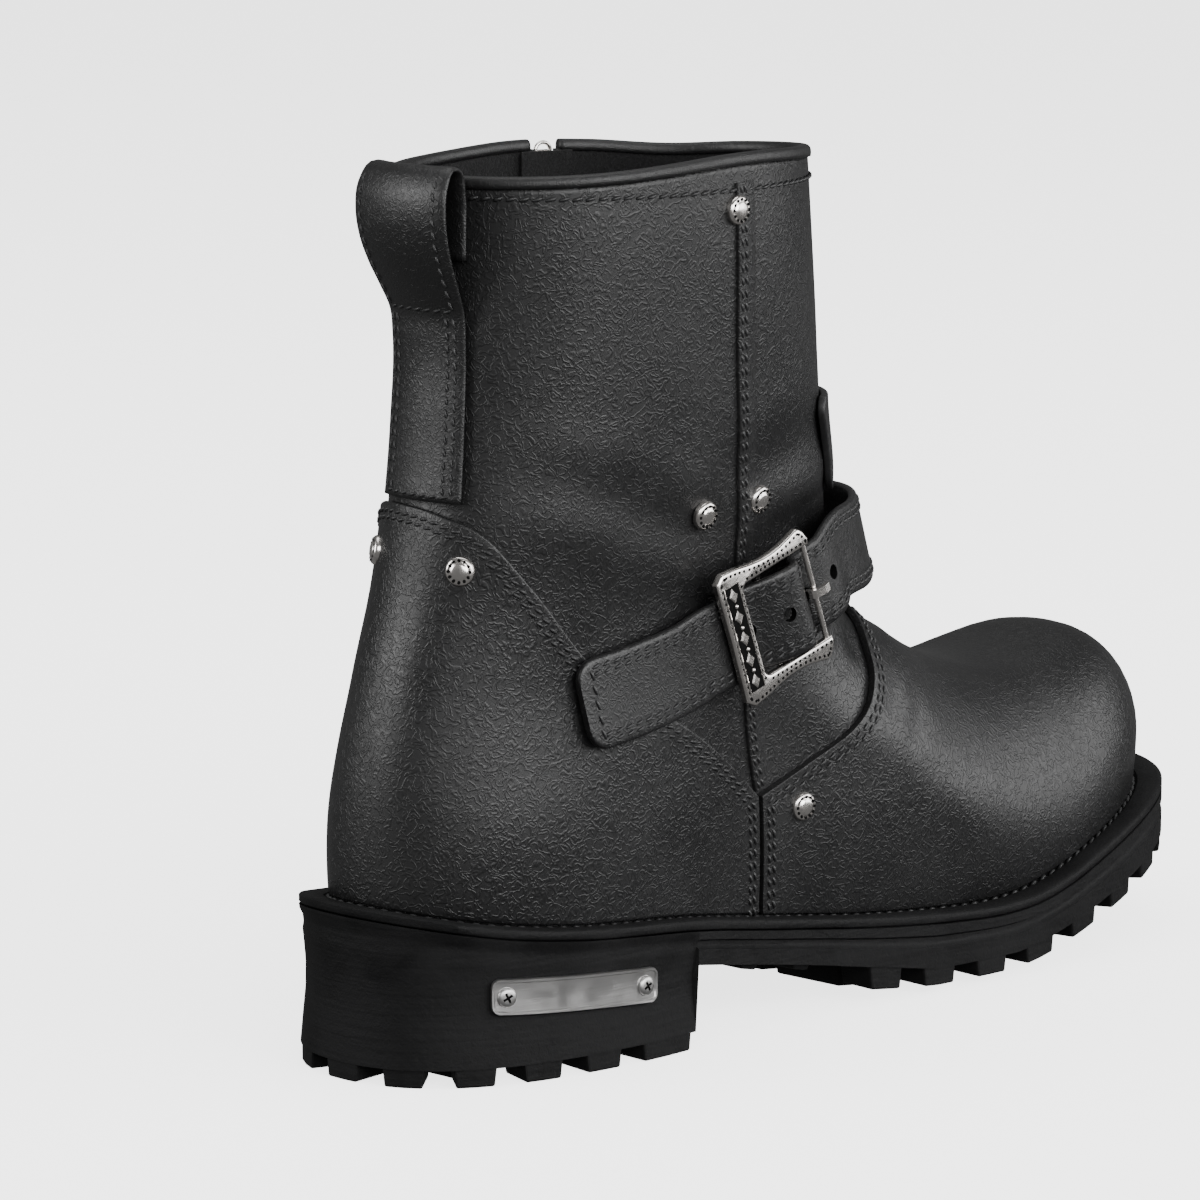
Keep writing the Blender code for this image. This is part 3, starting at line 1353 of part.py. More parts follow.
def add_front_plate():
    middle = FRONT_PLATE_Z
    radius = np.linalg.norm(surface_at(FRONT_AZIMUTH, middle)[:2] - np.array(PIVOT)[:2])
    heights, azimuths = [], []
    for up, wide in FRONT_PLATE_ROWS:
        heights.append(middle + up * FRONT_PLATE_HEIGHT)
        half = np.degrees(wide * FRONT_PLATE_WIDTH / 2 / radius)
        azimuths.append(FRONT_AZIMUTH + np.linspace(-half, half, 9))
    return patch("front_plate", azimuths, heights, 3 * GAP, 3 * GAP + FRONT_PLATE_THICKNESS, BLACK_METAL)


def heel_side(outline, run, height):
    """Point and normal on the heel's side at a length along the edge and a height."""
    point, normal = outline.at(run)
    top = float(seat_height(point[0]))
    share = (top - height) / (top - LUG_DEPTH)
    rows = [(row[0], row[1]) for row in SIDE_ROWS]
    inset = np.interp(share, [r[0] for r in rows], [r[1] for r in rows]) * SIDE_STEP
    spot = point - normal * inset
    return np.array([spot[0], spot[1], height]), normal


def add_heel_plate(outline):
    start = outline.run_at(PLATE_FRONT_X, True) - PLATE_LENGTH
    rings = []
    for share in np.linspace(0, 1, 9):
        run = start + share * PLATE_LENGTH
        middle = PLATE_Z + (0.5 - share) * PLATE_LENGTH * PLATE_SLOPE
        half = PLATE_HEIGHT / 2 - (PLATE_CORNER if share in (0.0, 1.0) else 0)
        ring = []
        for hand in (-1, 1):
            spot, normal = heel_side(outline, run, middle + hand * half)
            ring.append((spot + normal * PLATE_CLEARANCE, spot + normal * (PLATE_CLEARANCE + PLATE_THICKNESS)))
        (low_in, low_out), (high_in, high_out) = ring
        rings.append(np.array([low_in, low_out, high_out, high_in]))
    plate = loft("heel_plate", rings, STEEL, smooth=False)
    head = ((0, 1), (0.55, 0.9), (0.9, 0.45), (1, 0), (0, 0))
    profile = [(r * PLATE_SCREW_DIAMETER / 2, h * PLATE_SCREW_HEIGHT) for r, h in head]
    for i, hand in enumerate((-1, 1)):
        share = 0.5 + hand * PLATE_SCREW_SPACING / 2 / PLATE_LENGTH
        run = start + share * PLATE_LENGTH
        middle = PLATE_Z + (0.5 - share) * PLATE_LENGTH * PLATE_SLOPE
        spot, normal = heel_side(outline, run, middle)
        screw = turned("plate_screw_%d" % (i + 1), profile, STEEL, 8)
        place(screw, spot + normal * (PLATE_CLEARANCE + PLATE_THICKNESS + GAP), (0, 0, 1), normal)
    return plate


def zip_frame(height):
    """Point on the outside at the zip, with the axes across the zip and outward."""
    point = surface_at(np.degrees(zip_azimuth()), height)
    out = horizontal(normals_at(point))
    return point, np.array([-out[1], out[0], 0]), out


def zip_strip(name, low, high, width, near, far, look, count):
    """A strip along the zip that follows the shaft between two distances inside its outer face."""
    middle = np.degrees(zip_azimuth())
    heights = np.linspace(low, high, 7)
    radius = np.linalg.norm(surface_at(middle, high)[:2] - np.array(PIVOT)[:2])
    half = np.degrees(width / 2 / radius)
    azimuths = [middle + np.linspace(-half, half, count)] * len(heights)
    return patch(name, azimuths, heights, near, far, look)


def add_zip():
    top = float(wall_top(zip_azimuth())) - GAP
    tape_far = -(WALL + ZIP_TAPE_CLEARANCE)
    tape_near = tape_far - ZIP_TAPE_THICKNESS
    zip_strip("zip_tape", ZIP_END_Z - 0.006, top, ZIP_TAPE_WIDTH, tape_near, tape_far, LINING, 4)
    teeth_near = tape_far + 2 * GAP
    slider_low = top - ZIP_SLIDER_LENGTH
    zip_strip(
        "zip_teeth", ZIP_END_Z + 0.003, slider_low - GAP, ZIP_TEETH_WIDTH,
        teeth_near, teeth_near + ZIP_TEETH_THICKNESS, BLACK_METAL, 2,
    )
    point, across, out = zip_frame(slider_low + ZIP_SLIDER_LENGTH / 2)
    face = ZIP_SLIDER_PROUD
    deep = face - teeth_near
    slider = block("zip_slider", (ZIP_SLIDER_WIDTH, ZIP_SLIDER_LENGTH, deep), SILVER)
    bevel(slider, 0.0006)
    centre = point + out * (face - deep / 2)
    place_up(slider, centre, across, out)
    bail = []
    for i, (up, rise, length, thick) in enumerate(
        ((-BAIL_REACH, BAIL_RISE / 2, BAIL_BAR, BAIL_RISE + BAIL_BAR),
         (BAIL_REACH, BAIL_RISE / 2, BAIL_BAR, BAIL_RISE + BAIL_BAR),
         (0, BAIL_RISE, 2 * BAIL_REACH + BAIL_BAR, BAIL_BAR))
    ):
        piece = block("zip_bail_%d" % i, (BAIL_WIDTH, length, thick), SILVER)
        place_up(piece, point + out * (face + rise) + np.array([0, 0, up]), across, out)
        boolean(slider, piece, "UNION")
    hinge = point + out * (face + BAIL_RISE / 2)
    pull = flat_outline("zip_pull", pull_outline(), PULL_THICKNESS, SILVER)
    place_up(pull, hinge, across, out)
    window = block("zip_pull_window", (BAIL_WIDTH + 2 * PULL_PLAY, PULL_WINDOW, 0.01), SILVER)
    place_up(window, hinge - np.array([0, 0, PULL_THICKNESS / 2 + PULL_WINDOW / 2]), across, out)
    boolean(pull, window, "DIFFERENCE")
    return hinge, across


def bevel(obj, width):
    change = obj.modifiers.new("Edges", "BEVEL")
    change.width = width
    change.segments = 1
    change.limit_method = "ANGLE"
    return change


def place_up(obj, origin, across, out):
    """Turns an object so that its X runs across, its Y up and its Z outward."""
    place(obj, origin, np.cross([0, 0, 1], out), out)


def pull_outline():
    """The pull tab hanging down from its crossbar, in its own plane."""
    return [(x * ZIP_PULL_WIDTH / 2, y * ZIP_PULL_LENGTH + (1 + y) * PULL_THICKNESS / 2) for x, y in PULL_EDGE]


clear_scene()
BOOT = new_collection("engineer_boot")
CUTTERS = new_collection("cutters")

LEATHER = material("black_leather", (0.018, 0.018, 0.019), 0.46)
OVERLAY_LEATHER = material("overlay_leather", (0.020, 0.020, 0.021), 0.44)
BINDING_LEATHER = material("binding_leather", (0.014, 0.014, 0.015), 0.50)
LINING = material("black_lining", (0.010, 0.010, 0.011), 0.85)
RUBBER = material("black_rubber", (0.016, 0.016, 0.016), 0.62)
WELT_RUBBER = material("welt_rubber", (0.013, 0.013, 0.013), 0.55)
SILVER = material("aged_silver", (0.72, 0.69, 0.67), 0.26, 1.0)
STEEL = material("brushed_plate", (0.55, 0.54, 0.53), 0.34, 1.0)
STRAP_LEATHER = material("strap_leather", (0.017, 0.017, 0.018), 0.44)
BLACK_METAL = material("black_plate", (0.02, 0.02, 0.021), 0.35, 0.6)

OUTLINE = Outline()
add_outsole(OUTLINE)
add_welt()
add_insole()
add_upper()
overlay("vamp", VAMP_ROWS, (JUNCTION_SHEAR, -JUNCTION_SHEAR), VAMP_THICKNESS, OVERLAY_LEATHER)
overlay("counter", COUNTER_ROWS, (-JUNCTION_SHEAR, JUNCTION_SHEAR), COUNTER_THICKNESS, OVERLAY_LEATHER)
add_binding()
add_strap()
add_chape()
add_buckle()
add_prong()
add_pull_loop()
add_rivets()
add_front_plate()
add_heel_plate(OUTLINE)
add_zip()
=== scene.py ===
"""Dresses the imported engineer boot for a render: leather, lining, lug sole, stitches and metal.

Metres, +Z up, +X towards the toe, -Y the outer side of the right boot. The sizes, the tables and the outside
of the upper are those of the solids, so each piece lies on the solid that it dresses.
"""

from math import cos, pi, radians, sin

import bmesh
import bpy
import numpy as np
from mathutils import Matrix, Vector


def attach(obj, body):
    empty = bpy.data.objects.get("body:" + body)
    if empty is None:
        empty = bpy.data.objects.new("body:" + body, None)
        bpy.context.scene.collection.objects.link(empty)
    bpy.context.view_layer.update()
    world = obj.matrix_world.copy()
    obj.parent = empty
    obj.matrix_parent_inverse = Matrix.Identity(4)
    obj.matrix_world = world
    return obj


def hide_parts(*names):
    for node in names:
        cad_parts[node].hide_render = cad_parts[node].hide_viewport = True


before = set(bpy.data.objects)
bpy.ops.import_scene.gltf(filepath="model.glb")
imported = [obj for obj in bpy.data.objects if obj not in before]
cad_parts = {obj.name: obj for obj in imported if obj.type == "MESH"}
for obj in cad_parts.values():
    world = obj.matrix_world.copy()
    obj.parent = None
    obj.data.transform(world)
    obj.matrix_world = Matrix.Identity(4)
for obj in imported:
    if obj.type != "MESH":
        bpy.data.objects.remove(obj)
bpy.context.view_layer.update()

# Sizes in metres and angles in degrees, unless a name says otherwise
GAP = 0.0003
WALL = 0.0024
FIT = 0.0004
VAMP_THICKNESS = 0.0016
COUNTER_THICKNESS = 0.0013
BINDING_HEIGHT = 0.0022
BINDING_PROUD = 0.0006
UPPER_LENGTH = 0.2870
HEEL_REACH = 0.0365
BALL_WIDTH = 0.0925
TOE_HEIGHT = 0.0885
SHAFT_HEIGHT = 0.2265
SHAFT_DEPTH = 0.1170
SHAFT_WIDTH = 0.0875
INSTEP_BLEND = 0.0340
FEATHER_DRAW = 0.0030
WIDEST_ALONG = 0.70
TOE_TIP_INWARD = 0.0015
RIM_HEIGHT = 0.0450
TOE_SPRING = 0.0215
LUG_DEPTH = 0.0047
WAIST_LUG_DEPTH = 0.0016
WAIST_HEIGHT = 0.0220
BREAST_X = 0.0400
SOLE_EDGE = 0.0112
SIDE_STEP = 0.0016
EDGE_LIFT = 0.0022
TREAD_SETTLE = 0.0003
WELT_THICKNESS = 0.0030
LUG_REACH = 0.0130
LUG_LENGTH = 0.0116
LUG_DRAFT = 0.0007
LUG_ROOT = 0.0012
LUG_INSET = 0.0004
HEEL_BLOCKS_X = (-0.0190, 0.0020, 0.0240)
HEEL_BLOCKS_Y = ((-0.0230, -0.0065), (-0.0035, 0.0150))
HEEL_BLOCK_LENGTH = 0.0140
FORE_BLOCKS = 7
FORE_BLOCK_START = 0.0120
FORE_BLOCK_INSET = 0.0050
FORE_BLOCK_GAP = 0.0040
WAIST_LUG_LENGTH = 0.0070
BREAST_LUG_LENGTH = 0.0180
HEEL_LUGS = 11
FORE_LUGS = 19
FORE_LUG_START = 0.1050
WAIST_LUGS = (0.0630, 0.0830)
PLATE_LENGTH = 0.0505
PLATE_SCREW_SPACING = 0.0426
PLATE_CORNER = 0.0022
PLATE_RIM = 0.00075
PLATE_RECESS = 0.00035
SCREW_SLOT = (0.0027, 0.00062, 0.0010)
PLATE_FRONT_X = 0.0243
PLATE_HEIGHT = 0.0092
PLATE_THICKNESS = 0.0012
PLATE_CLEARANCE = 0.0006
PLATE_Z = 0.0213
PLATE_SLOPE = 0.062
PLATE_SCREW_DIAMETER = 0.0052
PLATE_SCREW_HEIGHT = 0.0011
STRAP_WIDTH = 0.0235
STRAP_THICKNESS = 0.0022
STRAP_STANDOFF = 0.0100
STRAP_HUMP = 0.0046
STRAP_HOLE = 0.0039
STRAP_HOLE_SPACING = 0.0118
BUCKLE_LENGTH = 0.0330
BUCKLE_HEIGHT = 0.0372
BUCKLE_THICKNESS = 0.0026
BUCKLE_OPENING = 0.0258
BUCKLE_SIDE = 0.0083
BUCKLE_ROD = 0.0016
BUCKLE_BAR = 0.0020
BUCKLE_AZIMUTH = -88.2
BUCKLE_Z = 0.1100
BUCKLE_FACING = radians(-94.0)
BUCKLE_PITCH = radians(19.4)
BUCKLE_RISE = 0.0086
BAR_RISE = 0.0042
BAR_ALONG = 0.03
ROD_ALONG = 0.455
PRONG_HOLE = 0.402
LOOP_WIDTH = 0.0280
LOOP_THICKNESS = 0.0014
LOOP_BULGE = 0.0105
LOOP_AZIMUTH = -177.3
RIVET_DIAMETER = 0.0076
RIVET_HEIGHT = 0.0018
FRONT_PLATE_WIDTH = 0.0760
FRONT_PLATE_HEIGHT = 0.0260
FRONT_PLATE_THICKNESS = 0.0014
FRONT_PLATE_Z = 0.1500
FRONT_AZIMUTH = -8.0
ZIP_X = 0.0610
ZIP_SLOT = 0.0072
ZIP_END_Z = 0.1260
ZIP_TAPE_CLEARANCE = 0.0006
ZIP_TEETH_THICKNESS = 0.0014
ZIP_SLIDER_LENGTH = 0.0090
# Foot form: along, share of UPPER_LENGTH from the heel back; outer, inner, round and crown, shares of
# BALL_WIDTH; top, share of TOE_HEIGHT
FOOT_ROWS = (
    (0.06, 0.20, 0.20, 0.89, 0.22, 0.04),
    (0.23, 0.26, 0.26, 1.23, 0.28, 0.06),
    (0.37, 0.35, 0.305, 1.38, 0.35, 0.11),
    (0.475, 0.43, 0.365, 1.29, 0.36, 0.15),
    (0.58, 0.465, 0.42, 1.12, 0.36, 0.18),
    (0.65, 0.485, 0.455, 0.995, 0.36, 0.19),
    (0.72, 0.49, 0.485, 0.91, 0.36, 0.17),
    (0.79, 0.485, 0.495, 0.875, 0.36, 0.14),
    (0.86, 0.475, 0.495, 0.895, 0.34, 0.09),
    (0.925, 0.465, 0.495, 0.935, 0.32, 0.04),
    (1.0, 0.45, 0.48, 0.945, 0.30, 0.01),
)
# Heel and shaft form: up, share of SHAFT_HEIGHT; back and front, shares of SHAFT_DEPTH; outer and inner,
# shares of SHAFT_WIDTH; exponent of the section
SHAFT_ROWS = (
    (0.09, -0.267, 0.60, -0.357, 0.345, 2.3),
    (0.20, -0.301, 0.60, -0.392, 0.369, 2.3),
    (0.265, -0.305, 0.64, -0.404, 0.369, 2.3),
    (0.353, -0.295, 0.725, -0.406, 0.347, 2.3),
    (0.442, -0.264, 0.855, -0.424, 0.337, 2.3),
    (0.53, -0.226, 0.965, -0.463, 0.332, 2.3),
    (0.618, -0.196, 0.960, -0.514, 0.340, 2.3),
    (0.706, -0.174, 0.922, -0.549, 0.363, 2.25),
    (0.817, -0.162, 0.895, -0.577, 0.386, 2.2),
    (0.927, -0.158, 0.867, -0.592, 0.404, 2.2),
    (1.06, -0.150, 0.840, -0.590, 0.397, 2.2),
)
# Sole: along, share of UPPER_LENGTH; rim, share of RIM_HEIGHT; tread, share of TOE_SPRING; edge, share of
# SOLE_EDGE
SOLE_ROWS = (
    (-0.03, 1.000, 0.00, 0.97),
    (0.06, 0.884, 0.00, 0.74),
    (0.13, 0.827, 0.00, 0.62),
    (0.25, 0.762, 0.00, 0.62),
    (0.40, 0.615, 0.30, 0.70),
    (0.50, 0.535, 0.12, 0.76),
    (0.60, 0.478, 0.00, 0.84),
    (0.67, 0.462, 0.00, 0.86),
    (0.71, 0.478, 0.06, 0.85),
    (0.76, 0.545, 0.20, 0.80),
    (0.81, 0.640, 0.37, 0.76),
    (0.88, 0.765, 0.60, 0.80),
    (0.94, 0.860, 0.79, 0.90),
    (1.04, 0.960, 1.00, 1.00),
)
# Side of the sole, from its top at 0 to its bottom at 1: how far it steps in, as a share of SIDE_STEP
HEEL_SIDE = ((0, 0), (0.20, 0.62), (0.40, 1.00), (0.60, 0.95), (0.80, 0.50), (1, 0.10))
FORE_SIDE = ((0, 0), (0.24, 0), (0.28, 0.72), (0.46, 0.72), (0.50, 0), (1, 0))
HEEL_GROOVE = 0.35
WAVE = 0.0030
# Collar height over SHAFT_HEIGHT by azimuth, in shares of WAVE
COLLAR_ROWS = (
    (-180, -0.40), (-150, -0.15), (-111, 0.90), (-69, 0.70), (-30, 0.25), (0, -0.10),
    (30, -0.45), (70, 0.00), (109, 0.20), (145, -0.30), (180, -0.40),
)
# Upper edges of the counter and the vamp by azimuth, in shares of SHAFT_HEIGHT
COUNTER_ROWS = (
    (-274.4, 0.280), (-260, 0.288), (-240, 0.340), (-225, 0.400), (-212, 0.470), (-204, 0.545), (-196, 0.605),
    (-188, 0.628), (-180, 0.632), (-171, 0.624), (-163, 0.600), (-157, 0.545), (-150, 0.470),
    (-137, 0.410), (-119, 0.362), (-104, 0.326), (-91, 0.296), (-79.6, 0.270),
)
VAMP_ROWS = (
    (-78, 0.270), (-66, 0.282), (-56, 0.297), (-47, 0.318), (-40, 0.344), (-33, 0.378),
    (-27, 0.408), (-18, 0.436), (-6, 0.448), (8, 0.440), (20, 0.415), (30, 0.380),
    (40, 0.345), (52, 0.318), (66, 0.296), (84, 0.280),
)
JUNCTION_SHEAR = 9.0
# Strap: azimuth; up, share of SHAFT_HEIGHT; height over the leather, share of STRAP_STANDOFF; degrees that
# its face looks up
STRAP_ROWS = (
    (124, 0.414, 0.28, 4),
    (108, 0.440, 0.22, 4),
    (88, 0.470, 0.20, 5),
    (68, 0.494, 0.20, 7),
    (48, 0.511, 0.30, 9),
    (30, 0.526, 0.46, 12),
    (10, 0.541, 0.64, 14),
    (-8, 0.547, 0.69, 14),
    (-24, 0.548, 0.68, 13),
    (-40, 0.544, 0.64, 10),
    (-54, 0.537, 0.58, 6),
)
# Strap through the buckle: along, share of BUCKLE_LENGTH; rise, share of STRAP_HUMP; low, share of
# STRAP_WIDTH
BUCKLE_PASS_ROWS = (
    (0.68, -0.04, 0.00),
    (0.54, 0.00, 0.01),
    (0.44, 0.00, 0.02),
    (0.385, 0.03, 0.02),
    (0.35, 0.22, 0.03),
    (0.32, 0.62, 0.03),
    (0.28, 0.92, 0.03),
    (0.20, 1.00, 0.03),
    (0.10, 0.90, 0.03),
    (-0.02, 0.62, 0.03),
    (-0.12, 0.32, 0.03),
    (-0.20, 0.10, 0.03),
    (-0.28, 0.00, 0.03),
    (-0.50, 0.00, 0.02),
    (-0.66, 0.02, 0.00),
)
FREE_END_ROWS = (
    (-122, 0.442, 0.27, 0),
    (-136, 0.425, 0.27, 3),
    (-148, 0.410, 0.29, 6),
)
BUCKLE_CORNER = 0.0016
BUCKLE_BEVEL = 0.0008
ORNAMENT_PITCH = 0.0060
ORNAMENT_GROUND = (0.0046, 0.0290, 0.0003)
LOZENGE = ((0.0017, 0), (0, 0.0024), (-0.0017, 0), (0, -0.0024))
BEAD_RADIUS = 0.00065
DOT_SPACING = 0.00165
DOT_INSET = 0.00125
BUCKLE_DOT = 0.00042
RIVET_DOT = 0.00043
RIVET_DOTS = 12
# Upper half of the buckle's outline: shares of BUCKLE_LENGTH and of BUCKLE_HEIGHT
BUCKLE_EDGE = (
    (-0.490, 0.0), (-0.495, 0.25), (-0.500, 0.445), (-0.425, 0.500), (-0.290, 0.487), (-0.130, 0.459),
    (0.035, 0.444), (0.200, 0.455), (0.335, 0.482), (0.415, 0.497), (0.465, 0.460), (0.500, 0.400),
    (0.492, 0.350),
)
# Pull loop: off, share of LOOP_BULGE; up, share of SHAFT_HEIGHT
LOOP_ROWS = (
    (0.03, 0.640), (0.03, 0.720), (0.03, 0.815), (0.10, 0.845), (0.36, 0.872), (0.64, 0.898),
    (0.88, 0.928), (0.98, 0.956), (0.92, 0.985), (0.62, 1.005), (0.30, 1.003), (0.06, 0.975),
    (0.03, 0.940), (0.03, 0.905),
)
# Rivets: azimuth; up, share of SHAFT_HEIGHT; thickness of what lies over the upper there
RIVET_ROWS = (
    ("shaft_top", -109.3, 0.9505, 0),
    ("shaft_rear", -116.6, 0.6097, 0),
    ("shaft_front", -91.3, 0.6177, 0),
    ("counter_outer", -167.5, 0.5669, COUNTER_THICKNESS),
    ("counter_inner", 172.2, 0.5740, COUNTER_THICKNESS),
    ("vamp_outer", -56.7, 0.2486, VAMP_THICKNESS),
    ("vamp_inner", 56.7, 0.2486, VAMP_THICKNESS),
)
# Front plate: height from its middle, share of FRONT_PLATE_HEIGHT; share of FRONT_PLATE_WIDTH
FRONT_PLATE_ROWS = ((-0.5, 0.62), (-0.42, 0.70), (-0.14, 0.82), (0.14, 0.92), (0.42, 0.99), (0.5, 0.95))
PIVOT = Vector((0.0620, -0.0020, 0.0520))
# Points of one solid that are nearer than this are one point
MEETING = 0.00001
# Leather: how far the upper's outside lies within the solid's, and what its wall leaves for the lining
UPPER_SINK = 0.00025
LINING_ROOM = 0.0004
OVERLAY_SINK = 0.0001
OVERLAY_ROUNDING = 0.00055
COLLAR_GAP = 0.0014
LUG_ROUNDING = 0.0006
# Seams, as distances from the edge or the seam beside them
OVERLAY_SEAMS = (0.0022, 0.0040)
SIDE_SEAMS = (-0.0013, -0.0029)
COLLAR_SEAM_DOWN = 0.0062
STRAP_SEAMS = (0.0022, 0.0039)
# Length of a stitch and radius of its thread
UPPER_STITCH, UPPER_THREAD = 0.0029, 0.00046
WELT_STITCH, WELT_THREAD = 0.0036, 0.00066
STRIP_STITCH, STRAP_THREAD, PULL_THREAD = 0.0028, 0.00044, 0.00042
# How far from an overlay's end its lines lean
END_SPAN = 24
STRAP_CORNER = 0.0055
ZIP_PITCH = 0.00125
ZIP_TOOTH = (0.0030, 0.00085)
ZIP_TOOTH_SHIFT = 0.00045
CROWN_Z = 0.2241
CROWN_RADIUS = 0.0023
CROWN_TUBE = 0.0005
# Heights of the pull strap's two cross seams and of the end of its side seams
PULL_SEAM_HEIGHTS = (0.1455, 0.1915, 0.226)
WELT_SEAM_ACROSS = 0.19
WELT_SEAM_DOWN = 0.22
FLOOR_REACH = 90
CAMERA_ANGLE = 11.768
CAMERA_TURN = 46
CAMERA_AHEAD = (0.7097, 0.6853, -0.1633)
CAMERA_SPOT = (-1.01960, -1.03190, 0.35623)
UP = np.array([0, 0, 1.0])
# Profiles. Welt: shares of the edge's reach and of its height. Collar: of half its thickness and of its height.
WELT_PROFILE = (
    (-0.05, -1.0), (-0.05, 0.0), (0.03, 0.0), (0.06, -0.10), (0.09, -0.24), (0.14, -0.30), (0.24, -0.30),
    (0.30, -0.22), (0.33, 0.0), (0.42, 0.03), (0.86, 0.02), (0.95, -0.06), (1.0, -0.22), (1.0, -0.82),
    (0.97, -0.95), (0.92, -1.0),
)
COLLAR_PROFILE = (
    (-1, -0.3), (1, -0.3), (1.04, 0.15), (1.0, 0.45), (0.86, 0.74), (0.62, 0.93), (0.3, 1.02), (0, 1.04),
    (-0.3, 1.02), (-0.62, 0.93), (-0.86, 0.74), (-1.0, 0.45), (-1.04, 0.15),
)
# Strap: share of half the width, shift in metres, share of half the thickness
STRAP_PROFILE = (
    (-1, 0.0007, -1), (-0.5, 0, -1), (0, 0, -1), (0.5, 0, -1), (1, -0.0007, -1), (1, -0.0002, -0.7), (1, 0, 0),
    (1, -0.0002, 0.7), (1, -0.0007, 0.98), (1, -0.0016, 1.04), (0.5, 0, 1), (0, 0, 1), (-0.5, 0, 1),
    (-1, 0.0016, 1.04), (-1, 0.0007, 0.98), (-1, 0.0002, 0.7), (-1, 0, 0), (-1, 0.0002, -0.7),
)
# Stitch: place along it, thickness and rise, as shares of its length and of the thread's radius
STITCH_SIDES = 6
STITCH_RINGS = (
    (0.0, 0.35, -1.6), (0.10, 0.85, -0.45), (0.30, 1.0, 0.25), (0.5, 1.0, 0.45), (0.70, 1.0, 0.25),
    (0.90, 0.85, -0.45), (1.0, 0.35, -1.6),
)
# Rivet and screw heads: shares of the radius and of the height
RIVET_DOME = (
    (0, 1.0), (0.20, 0.985), (0.40, 0.93), (0.52, 0.86), (0.58, 0.74), (0.66, 0.66), (0.74, 0.68), (0.82, 0.66),
    (0.92, 0.50), (0.98, 0.28), (1.0, 0.05), (1.0, -0.3),
)
SCREW_HEAD = ((0, 0.95), (0.5, 0.93), (0.78, 0.80), (0.93, 0.50), (1.0, 0.12), (1.0, -0.25), (0, -0.25))
# The seam up the outer side, from the collar to the vamp
SIDE_SEAM = (
    (0.0438, -0.0521, 0.2220), (0.0450, -0.0515, 0.2030), (0.0466, -0.0500, 0.1800), (0.0505, -0.0462, 0.1540),
    (0.0548, -0.0424, 0.1276), (0.0585, -0.0415, 0.1060), (0.0617, -0.0411, 0.0850), (0.0650, -0.0398, 0.0720),
    (0.0672, -0.0390, 0.0655), (0.0684, -0.0386, 0.0620),
)
# Creases of the worn leather. Ends on the outside, half width, depth: in metres.
CREASES = (
    ((0.118, -0.036, 0.076), (0.132, -0.012, 0.094), 0.0035, -0.0010),
    ((0.126, -0.037, 0.070), (0.139, -0.010, 0.089), 0.0040, -0.0009),
    ((0.112, -0.030, 0.094), (0.121, -0.004, 0.106), 0.0035, -0.0012),
    ((0.062, -0.045, 0.128), (0.104, -0.034, 0.134), 0.0060, -0.0012),
    ((0.050, -0.046, 0.147), (0.098, -0.040, 0.154), 0.0070, -0.0009),
    ((0.012, -0.042, 0.141), (0.050, -0.046, 0.133), 0.0060, -0.0009),
    ((0.118, 0.030, 0.076), (0.132, 0.010, 0.092), 0.0035, -0.0010),
    ((0.110, 0.028, 0.094), (0.121, 0.006, 0.105), 0.0035, -0.0012),
    ((0.070, 0.036, 0.126), (0.104, 0.026, 0.134), 0.0060, -0.0012),
    ((-0.006, -0.030, 0.150), (0.020, -0.043, 0.146), 0.0060, -0.0008),
)


def unit(vectors):
    return vectors / np.linalg.norm(vectors, axis=-1, keepdims=True)


def run_along(points):
    """Length along a line at each of its points."""
    return np.r_[0, np.cumsum(np.linalg.norm(np.diff(points[:, :3], axis=0), axis=1))]


def interpolated(marks, run, line):
    """The columns of a line at lengths along it."""
    return np.stack([np.interp(marks, run, column) for column in np.transpose(line)], -1)


def smooth_curve(x, rows, column):
    """Value of one column at x, through the rows with Catmull-Rom slopes."""
    table = np.asarray(rows, float)
    xs, ys = table[:, 0], table[:, column]
    x = np.clip(x, xs[0], xs[-1])
    slopes = np.gradient(ys, xs)
    i = np.clip(np.searchsorted(xs, x, side="right") - 1, 0, len(xs) - 2)
    span = xs[i + 1] - xs[i]
    t = (x - xs[i]) / span
    return (
        (2 * t**3 - 3 * t**2 + 1) * ys[i]
        + (t**3 - 2 * t**2 + t) * span * slopes[i]
        + (3 * t**2 - 2 * t**3) * ys[i + 1]
        + (t**3 - t**2) * span * slopes[i + 1]
    )


def along(x):
    """Share of the upper's length at x."""
    return (x + HEEL_REACH) / UPPER_LENGTH


def rounded_distance(across, out, power, reach, half):
    """Signed distance, near enough, to a superellipse with the half axes reach and half."""
    ratio = (across**power + out**power) ** (1 / power)
    straight = np.sqrt(across**2 + out**2) + 1e-9
    scale = np.sqrt((across * reach) ** 2 + (out * half) ** 2) / straight
    return (ratio - 1) * scale


